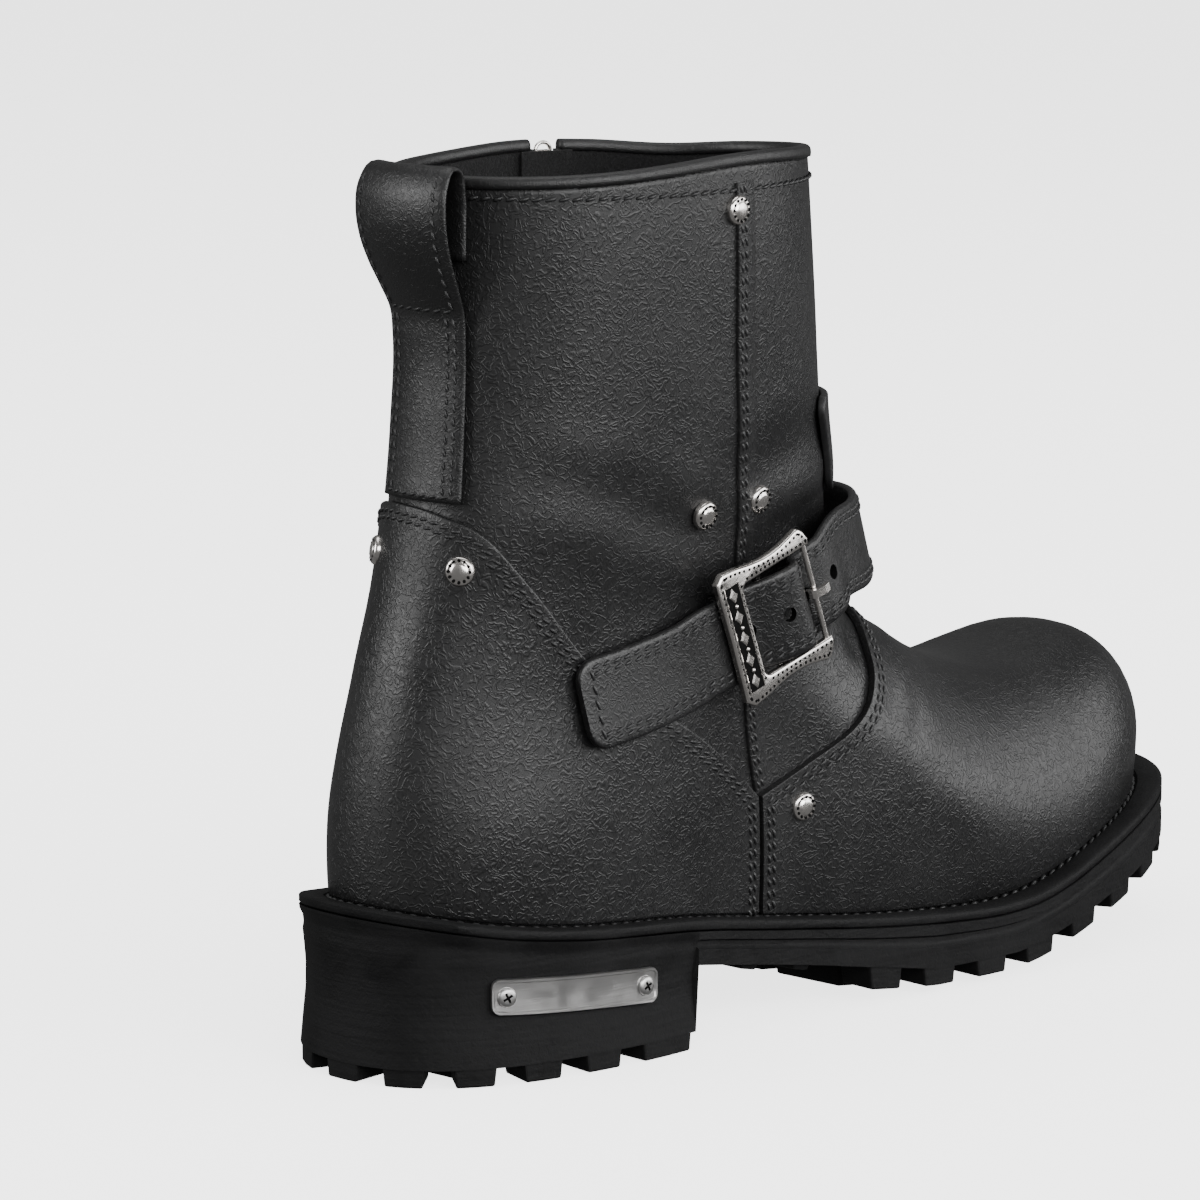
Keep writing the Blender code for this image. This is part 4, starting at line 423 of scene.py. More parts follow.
def foot_distance(x, y, z):
    s = along(x)
    outer, inner, top, rounding, crown = (smooth_curve(s, FOOT_ROWS, k) for k in range(1, 6))
    outer, inner, rounding, crown = (v * BALL_WIDTH for v in (outer, inner, rounding, crown))
    widest_x = WIDEST_ALONG * UPPER_LENGTH - HEEL_REACH
    toe_reach = UPPER_LENGTH - HEEL_REACH - widest_x
    heel_x = 0.23 * UPPER_LENGTH - HEEL_REACH
    front = np.clip((x - widest_x) / toe_reach, 0, None)
    rear = np.clip((heel_x - x) / (0.14 * UPPER_LENGTH), 0, None)
    middle = (inner - outer) / 2 + TOE_TIP_INWARD * np.clip(front, 0, 1.2) ** 2
    half = (inner + outer) / 2
    is_front = x > widest_x
    plan = rounded_distance(
        np.where(is_front, front, rear),
        np.abs(y - middle) / half,
        np.where(is_front, 2.35, 2.3),
        np.where(is_front, toe_reach, 0.14 * UPPER_LENGTH),
        half,
    )
    wall_height = 0.65 * TOE_HEIGHT
    plan = plan + FEATHER_DRAW * np.clip((wall_height - z) / (0.32 * TOE_HEIGHT), 0, 1.5) ** 2
    over = z - top * TOE_HEIGHT + crown * ((y - middle) / (BALL_WIDTH / 2)) ** 2
    a, b = plan + rounding, over + rounding
    corner = np.sqrt(np.maximum(a, 0) ** 2 + np.maximum(b, 0) ** 2)
    return corner + np.minimum(np.maximum(a, b), 0) - rounding


def shaft_distance(x, y, z):
    s = z / SHAFT_HEIGHT
    back, front, outer, inner, square = (smooth_curve(s, SHAFT_ROWS, k) for k in range(1, 6))
    reach = (front - back) / 2 * SHAFT_DEPTH
    half = (inner - outer) / 2 * SHAFT_WIDTH
    middle_x = (front + back) / 2 * SHAFT_DEPTH
    middle_y = (inner + outer) / 2 * SHAFT_WIDTH
    return rounded_distance(
        np.abs(x - middle_x) / reach, np.abs(y - middle_y) / half, square, reach, half
    )


def boot_distance(x, y, z):
    """Signed distance, near enough, to the outside of the upper: foot and shaft blended."""
    foot, shaft = foot_distance(x, y, z), shaft_distance(x, y, z)
    near = np.clip(INSTEP_BLEND - np.abs(foot - shaft), 0, None) / INSTEP_BLEND
    return np.minimum(foot, shaft) - near**2 * INSTEP_BLEND / 4


def distance_at(points):
    return boot_distance(points[..., 0], points[..., 1], points[..., 2])


def normals_at(points, step=0.0004):
    steps = step * np.eye(3)
    grad = np.stack([distance_at(points + axis) - distance_at(points - axis) for axis in steps], -1)
    return unit(grad)


def cast(directions, reach=0.26, steps=46):
    """Points where rays from the pivot leave the upper's form."""
    origin = np.array(PIVOT)
    low = np.zeros(directions.shape[:-1])
    high = np.full_like(low, reach)
    found = np.zeros(low.shape, bool)
    before = 0.0
    for t in np.linspace(0, reach, steps)[1:]:
        outside = distance_at(origin + directions * t) > 0
        new = outside & ~found
        low = np.where(new, before, low)
        high = np.where(new, t, high)
        found |= outside
        before = t
    for _ in range(18):
        middle = (low + high) / 2
        outside = distance_at(origin + directions * middle[..., None]) > 0
        high = np.where(outside, middle, high)
        low = np.where(outside, low, middle)
    return origin + directions * low[..., None]


def directions_at(azimuths, elevations):
    level = np.cos(elevations)
    return np.stack([np.cos(azimuths) * level, np.sin(azimuths) * level, np.sin(elevations) + 0 * azimuths], -1)


MAP_AZIMUTHS = np.linspace(-pi, pi, 361)
MAP_ELEVATIONS = np.linspace(radians(-30), radians(87), 240)
SURFACE = cast(directions_at(*np.meshgrid(MAP_AZIMUTHS, MAP_ELEVATIONS, indexing="ij")))


def column_at(azimuth):
    """The line up the outside at one azimuth in radians."""
    turn = (azimuth + pi) % (2 * pi)
    place_in = turn / (2 * pi) * (len(MAP_AZIMUTHS) - 1)
    i = min(int(place_in), len(MAP_AZIMUTHS) - 2)
    w = place_in - i
    return SURFACE[i] * (1 - w) + SURFACE[i + 1] * w


def surface_at(azimuth, height):
    """The point of the outside at an azimuth in degrees and a height."""
    line = column_at(radians(azimuth))
    k = int(np.argmax(line[:, 2] > height))
    w = (height - line[k - 1, 2]) / (line[k, 2] - line[k - 1, 2])
    return line[k - 1] + w * (line[k] - line[k - 1])


def even_azimuths(count):
    """Azimuths from the back round the outer side that space columns evenly along the feather line."""
    foot = SURFACE[:, 45]
    run = run_along(foot)
    return np.interp(np.linspace(0, run[-1], count + 1)[:-1], run, MAP_AZIMUTHS)


def rim_height(x):
    return smooth_curve(along(x), SOLE_ROWS, 1) * RIM_HEIGHT


def tread_height(x):
    """Height of the tread, level with the floor where it comes within TREAD_SETTLE of it."""
    return np.clip(smooth_curve(along(x), SOLE_ROWS, 2) * TOE_SPRING - TREAD_SETTLE, 0, None)


def seat_height(x):
    """Top of the outsole inside the welt."""
    return rim_height(x) - WELT_THICKNESS


def feather_height(x):
    """Bottom edge of the upper, just over the outsole."""
    return seat_height(x) + FIT


def overlay_foot_height(x):
    """Bottom edge of the vamp and the counter, just over the welt."""
    return rim_height(x) + FIT


def collar_height(azimuths):
    degrees = (np.degrees(azimuths) + 180) % 360 - 180
    return SHAFT_HEIGHT + WAVE * smooth_curve(degrees, COLLAR_ROWS, 1)


def wall_top(azimuths):
    return collar_height(azimuths) - BINDING_HEIGHT - GAP


def cut_column(line, bottom, top, rows):
    """The stretch of a line between two height functions, in rows evenly spaced points."""
    above = line[:, 2] - bottom(line[:, 0])
    k = int(np.argmax(above > 0))
    w = -above[k - 1] / (above[k] - above[k - 1])
    first = line[k - 1] + w * (line[k] - line[k - 1])
    m = int(np.argmax(line[:, 2] > top))
    w = (top - line[m - 1, 2]) / (line[m, 2] - line[m - 1, 2])
    last = line[m - 1] + w * (line[m] - line[m - 1])
    kept = np.vstack([first, line[k:m], last])
    run = run_along(kept)
    return interpolated(np.linspace(0, run[-1], rows), run, kept)


def edge_reach(x):
    return smooth_curve(along(x), SOLE_ROWS, 3) * SOLE_EDGE


# Meshes and objects


def add_object(name, mesh, look, smooth=True):
    if smooth:
        mesh.shade_smooth()
    mesh.materials.append(look)
    obj = bpy.data.objects.new(name, mesh)
    BOOT.objects.link(obj)
    return obj


def add_surface(name, points, faces, look, smooth=True):
    mesh = bpy.data.meshes.new(name)
    mesh.from_pydata([tuple(p) for p in points], [], faces)
    return add_object(name, mesh, look, smooth)


def add_solid(name, made, look, smooth=True):
    """An object from a bmesh, with its faces turned outward."""
    bmesh.ops.recalc_face_normals(made, faces=made.faces)
    mesh = bpy.data.meshes.new(name)
    made.to_mesh(mesh)
    made.free()
    return add_object(name, mesh, look, smooth)


def add_mesh(name, points, faces, look, smooth=True, joined=True):
    """A solid from points and faces. joined: points that meet become one."""
    mesh = bpy.data.meshes.new("draft")
    mesh.from_pydata([tuple(p) for p in points], [], faces)
    if joined:
        mesh.validate()
    made = bmesh.new()
    made.from_mesh(mesh)
    bpy.data.meshes.remove(mesh)
    if joined:
        bmesh.ops.remove_doubles(made, verts=made.verts, dist=MEETING)
    return add_solid(name, made, look, smooth)


def grid_quads(columns, rows, wrap=False, base=0):
    """Quads of a grid whose points lie column by column from base on."""
    quads = []
    for i in range(columns if wrap else columns - 1):
        a, b = base + i * rows, base + (i + 1) % columns * rows
        quads += [(a + k, b + k, b + k + 1, a + k + 1) for k in range(rows - 1)]
    return quads


def ring_quads(count, size, base=0, closed=False):
    """Quads between neighbouring rings of size points, from base on."""
    quads = []
    for i in range(count if closed else count - 1):
        a, b = base + i * size, base + (i + 1) % count * size
        for k in range(size):
            m = (k + 1) % size
            quads.append((a + k, b + k, b + m, a + m))
    return quads


def rim_quads(border, size):
    """Quads between the borders of two layers of size points."""
    return [(b, a, size + a, size + b) for a, b in zip(border, border[1:] + border[:1])]


def loft(name, sections, look, closed=False):
    """A closed solid through sections of equal point count, capped unless it is a ring."""
    count, size = len(sections), len(sections[0])
    faces = ring_quads(count, size, closed=closed)
    if not closed:
        faces += [tuple(range(size)), tuple(range((count - 1) * size, count * size))]
    return add_mesh(name, np.vstack(sections), faces, look)


def bridge(made, rings, capped=False):
    """Adds rings of points to a bmesh with faces between them. A ring may be one point."""
    rings = [[made.verts.new(spot) for spot in ring] for ring in rings]
    for low, high in zip(rings, rings[1:]):
        sides = max(len(low), len(high))
        for k in range(sides):
            m = (k + 1) % sides
            corners = low[k % len(low)], low[m % len(low)], high[m % len(high)], high[k % len(high)]
            made.faces.new(list(dict.fromkeys(corners)))
    if capped:
        made.faces.new(rings[0])
        made.faces.new(rings[-1][::-1])
    return rings


def circle(sides):
    return 2 * pi * np.arange(sides) / sides


def turned(profile, at, sides=36):
    """Rings of a profile of radius and height round the z axis of a matrix."""
    return [
        [at @ Vector((r * cos(t), r * sin(t), h)) for t in (circle(sides) if r else (0,))] for r, h in profile
    ]


def add_tube(made, line, radius, sides=14):
    """Adds a capped tube along a line of points to a bmesh."""
    line = np.array(line)
    rings = []
    for i, spot in enumerate(line):
        ahead = unit(line[min(i + 1, len(line) - 1)] - line[max(i - 1, 0)])
        u = unit(np.cross(ahead, (1, 0, 0) if abs(ahead[0]) < 0.9 else (0, 1, 0)))
        v = np.cross(ahead, u)
        rings.append([spot + (u * cos(t) + v * sin(t)) * radius for t in circle(sides)])
    bridge(made, rings, capped=True)


def cylinder(name, radius, length, look, sides):
    made = bmesh.new()
    bmesh.ops.create_cone(made, cap_ends=True, segments=sides, radius1=radius, radius2=radius, depth=length)
    return add_solid(name, made, look, smooth=False)


def block(name, size, look):
    made = bmesh.new()
    bmesh.ops.create_cube(made, size=1.0)
    bmesh.ops.scale(made, vec=size, verts=made.verts)
    return add_solid(name, made, look, smooth=False)


def axes_at(origin, x, y, z):
    """Matrix that takes the origin to a place and the axes to x, y and z."""
    turn = Matrix([Vector(axis) for axis in (x, y, z)]).transposed().to_4x4()
    return Matrix.Translation(Vector(origin)) @ turn


def facing(origin, z, x):
    """The same, with x brought square to z."""
    z, x = Vector(z).normalized(), Vector(x)
    x = (x - z * x.dot(z)).normalized()
    return axes_at(origin, x, z.cross(x), z)


def rounded_edges(obj, width, segments=3, angle=38):
    change = obj.modifiers.new("Edges", "BEVEL")
    change.width = width
    change.segments = segments
    change.limit_method = "ANGLE"
    change.angle_limit = radians(angle)
    change.use_clamp_overlap = True


def cut(obj, other):
    """Cuts the other object out of this one, which takes its look on the cut faces."""
    BOOT.objects.unlink(other)
    CUTTERS.objects.link(other)
    other.hide_render = True
    change = obj.modifiers.new(other.name, "BOOLEAN")
    change.operation = "DIFFERENCE"
    change.material_mode = "TRANSFER"
    change.object = other


def applied(obj):
    """Turns the modifiers of an object into its mesh."""
    graph = bpy.context.evaluated_depsgraph_get()
    mesh = bpy.data.meshes.new_from_object(obj.evaluated_get(graph))
    old = obj.data
    obj.modifiers.clear()
    obj.data = mesh
    bpy.data.meshes.remove(old)


def sharp_over(obj, degrees):
    obj.data.set_sharp_from_angle(angle=radians(degrees))


def piece(obj, slot, *nodes, body="boot"):
    """Hangs a made piece on the empty of the body that it rides on and hides the nodes it stands for. slot is not
    used.
    """
    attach(obj, body)
    if nodes:
        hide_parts(*nodes)


# Lines on the boot


def smooth_path(points, spacing):
    """Evenly spaced points on a smooth curve through the given ones."""
    points = np.asarray(points, float)
    run = run_along(points)
    rows = np.column_stack([run, points])
    fine = np.linspace(0, run[-1], 600)
    line = np.stack([smooth_curve(fine, rows, k) for k in range(1, points.shape[1] + 1)], 1)
    length = run_along(line)
    return interpolated(np.linspace(0, length[-1], max(3, int(round(length[-1] / spacing)) + 1)), length, line)


def resampled(loop, count):
    """A closed loop in evenly spaced points."""
    closed = np.vstack([loop, loop[:1]])
    run = run_along(closed)
    return interpolated(np.linspace(0, run[-1], count + 1)[:-1], run, closed)


def level_loop(azimuths, height):
    """Points round the outside where it crosses a height that depends on x."""
    return np.array([cut_column(column_at(a), height, SHAFT_HEIGHT * 0.8, 2)[0] for a in azimuths])


def outward(loop):
    """Level normals of a closed loop that runs anticlockwise from above."""
    ahead = np.roll(loop, -1, 0) - np.roll(loop, 1, 0)
    return unit(np.stack([ahead[:, 1], -ahead[:, 0], 0 * ahead[:, 0]], 1))


def horizontal(vectors):
    flat = np.array(vectors, float)
    flat[..., 2] = 0
    return unit(flat)


def shaft_radius(azimuth, height):
    return np.linalg.norm(surface_at(azimuth, height)[:2] - np.array(PIVOT)[:2])


def snapped(points):
    """Points moved along the normal onto the upper's outside."""
    points = np.asarray(points, float)
    for _ in range(2):
        points = points - normals_at(points) * distance_at(points)[..., None]
    return points


def crease_depth(points):
    """How far the leather dips or swells at each point."""
    total = np.zeros(points.shape[:-1])
    for start, end, half, depth in CREASES:
        a, b = np.array(start), np.array(end)
        t = np.clip(((points - a) @ (b - a)) / np.dot(b - a, b - a), 0, 1)
        away = np.linalg.norm(points - (a + t[..., None] * (b - a)), axis=-1)
        swell = 0.45 * np.exp(-(((away - 1.9 * half) / half) ** 2))
        total += depth * np.sin(pi * (0.12 + 0.76 * t)) * (np.exp(-((away / half) ** 2)) - swell)
    return total


# Sole


def is_heel(x):
    return x <= BREAST_X


def edge_share(y, outer, inner):
    """0 in the middle of the tread, 1 at its edges."""
    out = np.abs(2 * y - outer - inner) / (inner - outer)
    return np.clip((out - 0.7) / 0.3, 0, 1)


def ground_height(x, edge):
    """Where the lugs end."""
    return np.where(is_heel(x), 0, tread_height(x) + EDGE_LIFT * edge)


def underside_height(x, edge):
    """Bottom of the sole between the lugs."""
    waist = WAIST_HEIGHT - 0.5 * WAIST_HEIGHT / (FORE_LUG_START - BREAST_X) * (x - BREAST_X)
    return np.where(is_heel(x), LUG_DEPTH, np.maximum(ground_height(x, edge) + LUG_DEPTH, waist))


class Outline:
    """The sole's edge as an outer and an inner side over x, and as one run from the back."""

    def __init__(self):
        loop = level_loop(np.linspace(-pi, pi, 361)[:-1], rim_height)
        loop = loop + outward(loop) * edge_reach(loop[:, 0])[:, None]
        loop[:, 2] = 0
        loop = resampled(loop, 720)
        self.loop = np.roll(loop, -int(np.argmin(loop[:, 0])), 0)
        self.closed, self.out = (np.vstack([rows, rows[:1]]) for rows in (self.loop, outward(self.loop)))
        self.run = run_along(self.closed)
        self.toe = int(np.argmax(self.loop[:, 0]))
        self.outer = self.loop[: self.toe + 1]
        self.inner = self.closed[self.toe :][::-1]

    def sides(self, x):
        return [np.interp(x, side[:, 0], side[:, 1]) for side in (self.outer, self.inner)]

    def at(self, run):
        """Point and normal at a length along the edge."""
        run = run % self.run[-1]
        return interpolated(run, self.run, self.closed), unit(interpolated(run, self.run, self.out))

    def run_at(self, x, outer_side):
        """Length along the edge where it passes x on one side."""
        off_side = (np.arange(len(self.loop)) <= self.toe) != outer_side
        return self.run[int(np.argmin(np.abs(self.loop[:, 0] - x) + off_side))]


def perimeter_lug(start, end):
    """Sections of a lug that follows the edge between two lengths along it."""
    sections = []
    for share in (0, 0.5, 1):
        corners = []
        for draft in (0, LUG_DRAFT):
            point, normal = OUTLINE.at(start + draft + share * (end - start - 2 * draft))
            for inset in (LUG_INSET, LUG_REACH - draft):
                spot = point - normal * inset
                height = ground_height(spot[0], 1.0) if draft else underside_height(spot[0], 1.0) + LUG_ROOT
                corners.append((*spot[:2], float(height)))
        sections.append(np.array([corners[k] for k in (0, 2, 3, 1)]))
    return sections


def block_lug(x, length, y_low, y_high, depth=None):
    """Sections of a straight lug under the middle of the sole. It reaches the ground unless depth is given."""
    sections = []
    for y, inward in ((y_low, LUG_DRAFT), (y_high, -LUG_DRAFT)):
        edge = float(edge_share(y, *OUTLINE.sides(x)))
        corners = []
        for end, draft in ((-1, LUG_DRAFT), (1, -LUG_DRAFT)):
            here = x + end * length / 2
            root = float(underside_height(here, edge))
            low = float(ground_height(here, edge)) if depth is None else root - depth
            corners += [(here, y, root + LUG_ROOT), (here + draft, y + inward, low)]
        sections.append(np.array([corners[k] for k in (0, 1, 3, 2)]))
    return sections


def add_tread():
    """All lugs as one mesh of separate blocks."""
    lugs = []
    start = OUTLINE.run_at(BREAST_X - LUG_ROOT, False) - OUTLINE.run[-1]
    span = OUTLINE.run_at(BREAST_X - LUG_ROOT, True) - start
    lengths = [BREAST_LUG_LENGTH] + [LUG_LENGTH] * (HEEL_LUGS - 2) + [BREAST_LUG_LENGTH]
    gap = (span - sum(lengths)) / (HEEL_LUGS - 1)
    for length in lengths:
        lugs.append(perimeter_lug(start, start + length))
        start += length + gap
    first, last = (OUTLINE.run_at(FORE_LUG_START, side) for side in (True, False))
    pitch = (last - first - LUG_LENGTH) / (FORE_LUGS - 1)
    for i in range(FORE_LUGS):
        lugs.append(perimeter_lug(first + i * pitch, first + i * pitch + LUG_LENGTH))
    for x in HEEL_BLOCKS_X:
        lugs += [block_lug(x, HEEL_BLOCK_LENGTH, low, high) for low, high in HEEL_BLOCKS_Y]
    for i in range(FORE_BLOCKS):
        x = FORE_LUG_START + FORE_BLOCK_START + i * pitch
        outer, inner = OUTLINE.sides(x)
        middle, half = (outer + inner) / 2, (inner - outer) / 2 - LUG_REACH - FORE_BLOCK_INSET
        for low, high in ((-half, -FORE_BLOCK_GAP / 2), (FORE_BLOCK_GAP / 2, half)):
            lugs.append(block_lug(x, LUG_LENGTH, middle + low, middle + high))
    for x in WAIST_LUGS:
        outer, inner = OUTLINE.sides(x)
        lugs.append(block_lug(x, WAIST_LUG_LENGTH, outer + LUG_ROOT, inner - LUG_ROOT, WAIST_LUG_DEPTH))
    points, faces = [], []
    for sections in lugs:
        base = len(points)
        points += list(np.vstack(sections))
        end = len(points)
        faces += ring_quads(len(sections), 4, base)
        faces += [tuple(range(base, base + 4)), tuple(range(end - 4, end))]
    tread = add_mesh("tread_lugs", points, faces, RUBBER, smooth=False)
    rounded_edges(tread, LUG_ROUNDING, 2, 40)
    applied(tread)
    piece(tread, "rubber")


def add_sole_body():
    runs = list(np.linspace(0, OUTLINE.run[-1], 640, endpoint=False))
    for outer_side in (True, False):
        runs += [OUTLINE.run_at(BREAST_X, outer_side) + step for step in (-0.00025, 0.00025)]
    downs = np.r_[0, 0.03, 0.07, np.linspace(0.12, 0.94, 15), 0.975, 1.0]
    loops = []
    for run in np.sort(runs):
        point, normal = OUTLINE.at(run)
        heel = bool(is_heel(point[0]))
        inset = np.interp(downs, *np.transpose(HEEL_SIDE if heel else FORE_SIDE))
        inset += np.where(heel & (downs > 0.03) & (downs < 0.13), HEEL_GROOVE, 0)
        spots = point - normal * inset[:, None] * SIDE_STEP
        top = seat_height(spots[:, 0])
        spots[:, 2] = top + downs * (float(underside_height(point[0], 1.0)) - top)
        loops.append(spots)
    loops = np.array(loops)
    count, rows = loops.shape[:2]
    bottom = np.roll(loops[:, -1], -int(np.argmin(loops[:, -1, 0])), 0)
    toe = int(np.argmax(bottom[:, 0]))
    inner = np.vstack([bottom[toe:], bottom[:1]])[::-1]
    shares = np.r_[0, 0.04, 0.1, 0.15, np.linspace(0.2, 0.8, 7), 0.85, 0.9, 0.96, 1]
    points = list(loops.reshape(-1, 3))
    for x, y, _ in bottom[: toe + 1]:
        other = float(np.interp(x, inner[:, 0], inner[:, 1]))
        across = y + shares * (other - y)
        edge = edge_share(across, y, other) if abs(other - y) > MEETING else np.ones(len(shares))
        points += [(x, *spot) for spot in zip(across, underside_height(x, edge))]
    faces = grid_quads(count, rows, wrap=True) + grid_quads(toe + 1, len(shares), base=count * rows)
    faces.append(tuple(i * rows for i in reversed(range(count))))
    body = add_mesh("sole_body", points, faces, RUBBER, joined=False)
    sharp_over(body, 32)
    piece(body, "rubber", "outsole")


def add_welt_strip():
    base = resampled(level_loop(even_azimuths(360), rim_height), 720)
    out = outward(base) * edge_reach(base[:, 0])[:, None]
    across, up = np.transpose(WELT_PROFILE)
    x, y = (base[:, k : k + 1] + out[:, k : k + 1] * across for k in (0, 1))
    height = WELT_THICKNESS - GAP
    welt = loft("welt_strip", np.stack([x, y, rim_height(x) + up * height], -1), RUBBER, closed=True)
    sharp_over(welt, 50)
    piece(welt, "rubber", "welt")
    line = base + out * WELT_SEAM_ACROSS
    line[:, 2] = rim_height(line[:, 0]) - WELT_SEAM_DOWN * height
    line = np.vstack([line, line[:1]])

    def upward(spots):
        return np.tile(UP, (len(spots), 1))

    stitches("welt_stitches", [line], upward, WELT_STITCH, WELT_THREAD, 0.0, "rubber")


# Materials


class Look:
    """A Principled material with short calls for its nodes."""

    def __init__(self, name, colour, roughness, metallic=0.0, **sockets):
        self.made = bpy.data.materials.new(name)
        self.made.use_nodes = True
        self.tree = self.made.node_tree
        self.shader = self.tree.nodes["Principled BSDF"]
        self.set(self.shader, {"Base Color": (*colour, 1.0), "Roughness": roughness, "Metallic": metallic})
        self.set(self.shader, {key.replace("_", " "): value for key, value in sockets.items()})
        self.place = self.node("ShaderNodeTexCoord").outputs["Object"]
        self.height = None

    def set(self, node, values):
        for key, value in values.items():
            node.inputs[key].default_value = value

    def node(self, kind, values=None, links=None, **options):
        made = self.tree.nodes.new(kind)
        for key, value in options.items():
            setattr(made, key, value)
        self.set(made, values or {})
        for key, source in (links or {}).items():
            self.tree.links.new(source, made.inputs[key])
        return made

    def noise(self, scale, detail=3.0, distortion=0.0, vector=None):
        values = {"Scale": scale, "Detail": detail, "Distortion": distortion, "Roughness": 0.5}
        return self.node("ShaderNodeTexNoise", values, {"Vector": vector or self.place}).outputs["Fac"]

    def stretched_noise(self, scale, detail):
        mapping = self.node("ShaderNodeMapping", {"Scale": scale}, {"Vector": self.place})
        return self.noise(1.0, detail, 0.0, mapping.outputs["Vector"])

    def ranged(self, value, low, high, to_low, to_high):
        values = {"From Min": low, "From Max": high, "To Min": to_low, "To Max": to_high}
        return self.node("ShaderNodeMapRange", values, {"Value": value}).outputs["Result"]

    def maths(self, kind, a, b):
        made = self.node("ShaderNodeMath", operation=kind)
        for socket, value in zip(made.inputs, (a, b)):
            if isinstance(value, float):
                socket.default_value = value
            else:
                self.tree.links.new(value, socket)
        return made.outputs[0]

    def ramp(self, value, stops):
        made = self.node("ShaderNodeValToRGB", links={"Fac": value})
        for stop, (at, colour) in zip(made.color_ramp.elements, stops):
            stop.position = at
            stop.color = (*colour, 1.0)
        return made.outputs["Color"]

    def drive(self, socket, source):
        self.tree.links.new(source, self.shader.inputs[socket])

    def bump(self, height, depth, strength=1.0):
        made = self.node("ShaderNodeBump", {"Distance": depth, "Strength": strength}, {"Height": height})
        if self.height is not None:
            self.tree.links.new(self.height, made.inputs["Normal"])
        self.height = made.outputs["Normal"]
        self.drive("Normal", self.height)


def leather_look(name, tone, roughness, grain=640.0, depth=0.00007):
    """Worm-like embossed grain with fine pores, and worn tone in broad patches."""
    look = Look(name, (tone, tone, tone * 1.04), roughness, Coat_Weight=0.05, Coat_Roughness=0.30,
                Specular_IOR_Level=0.42)
    winding = look.maths("SINE", look.maths("MULTIPLY", look.noise(grain * 0.62, 1.0, 0.5), 30.0), 0.0)
    ridge = look.ranged(winding, -0.2, 1.0, 0.0, 1.0)
    look.bump(ridge, depth)
    look.bump(look.noise(grain * 3.2), depth * 0.5)
    look.bump(look.noise(30.0, 2.0), 0.0008, 0.18)
    patches = look.noise(24.0)
    worn = look.maths("ADD", patches, look.maths("MULTIPLY", ridge, -0.16))
    look.drive("Roughness", look.ranged(worn, 0.25, 0.7, roughness - 0.06, roughness + 0.10))
    look.drive("Base Color", look.ramp(patches, (
        (0.3, (tone * 0.72, tone * 0.72, tone * 0.76)), (0.72, (tone * 1.3, tone * 1.3, tone * 1.33)))))
    return look.made


def rubber_look():
    look = Look("sole_rubber", (0.007, 0.007, 0.0073), 0.62, Specular_IOR_Level=0.12)
    look.bump(look.noise(1900.0), 0.00010)
    look.bump(look.noise(620.0, 3.0, 0.6), 0.00022, 0.8)
    look.bump(look.noise(120.0), 0.0005, 0.35)
    look.bump(look.stretched_noise((25.0, 25.0, 620.0), 2.0), 0.00035, 0.5)
    scuffs = look.noise(60.0, 4.0, 0.6)
    look.drive("Roughness", look.ranged(scuffs, 0.3, 0.7, 0.54, 0.74))
    shades = ((0.35, (0.0048, 0.0048, 0.0050)), (0.75, (0.010, 0.010, 0.0103)))
    look.drive("Base Color", look.ramp(scuffs, shades))
    return look.made


def metal_look(name, colour, dark, roughness, brushed=None, scale=420.0):
    look = Look(name, colour, roughness, 1.0)
    tarnish = look.noise(scale, 4.0, 0.4)
    look.drive("Base Color", look.ramp(tarnish, ((0.22, dark), (0.55, colour))))
    look.drive("Roughness", look.ranged(tarnish, 0.3, 0.7, roughness + 0.10, roughness - 0.05))
    if brushed:
        look.bump(look.stretched_noise(brushed, 3.0), 0.00004, 0.7)
    else:
        look.bump(look.noise(900.0), 0.00003, 0.6)
    return look.made


def lining_look():
    look = Look("black_lining_cloth", (0.006, 0.006, 0.0062), 0.92, Sheen_Weight=0.06, Sheen_Roughness=0.6,
                Specular_IOR_Level=0.15)
    fuzz = look.noise(1400.0, 5.0, 0.8)
    look.bump(fuzz, 0.0004)
    look.drive("Base Color", look.ramp(fuzz, ((0.3, (0.003, 0.003, 0.0031)), (0.7, (0.010, 0.010, 0.0103)))))
    return look.made


def thread_look():
    look = Look("black_thread", (0.010, 0.010, 0.0105), 0.48)
    look.bump(look.noise(2600.0, 2.0), 0.00008)
    look.drive("Roughness", look.ranged(look.noise(900.0), 0.3, 0.7, 0.4, 0.6))
    return look.made


def black_metal_look():
    look = Look("blackened_plate", (0.022, 0.022, 0.023), 0.46, 0.45)
    wear = look.noise(90.0, 4.0, 0.5)
    look.drive("Roughness", look.ranged(wear, 0.3, 0.7, 0.42, 0.56))
    look.drive("Base Color", look.ramp(wear, ((0.35, (0.014, 0.014, 0.0145)), (0.75, (0.034, 0.034, 0.035)))))
    look.bump(look.noise(800.0), 0.00004)
    return look.made


# Leather


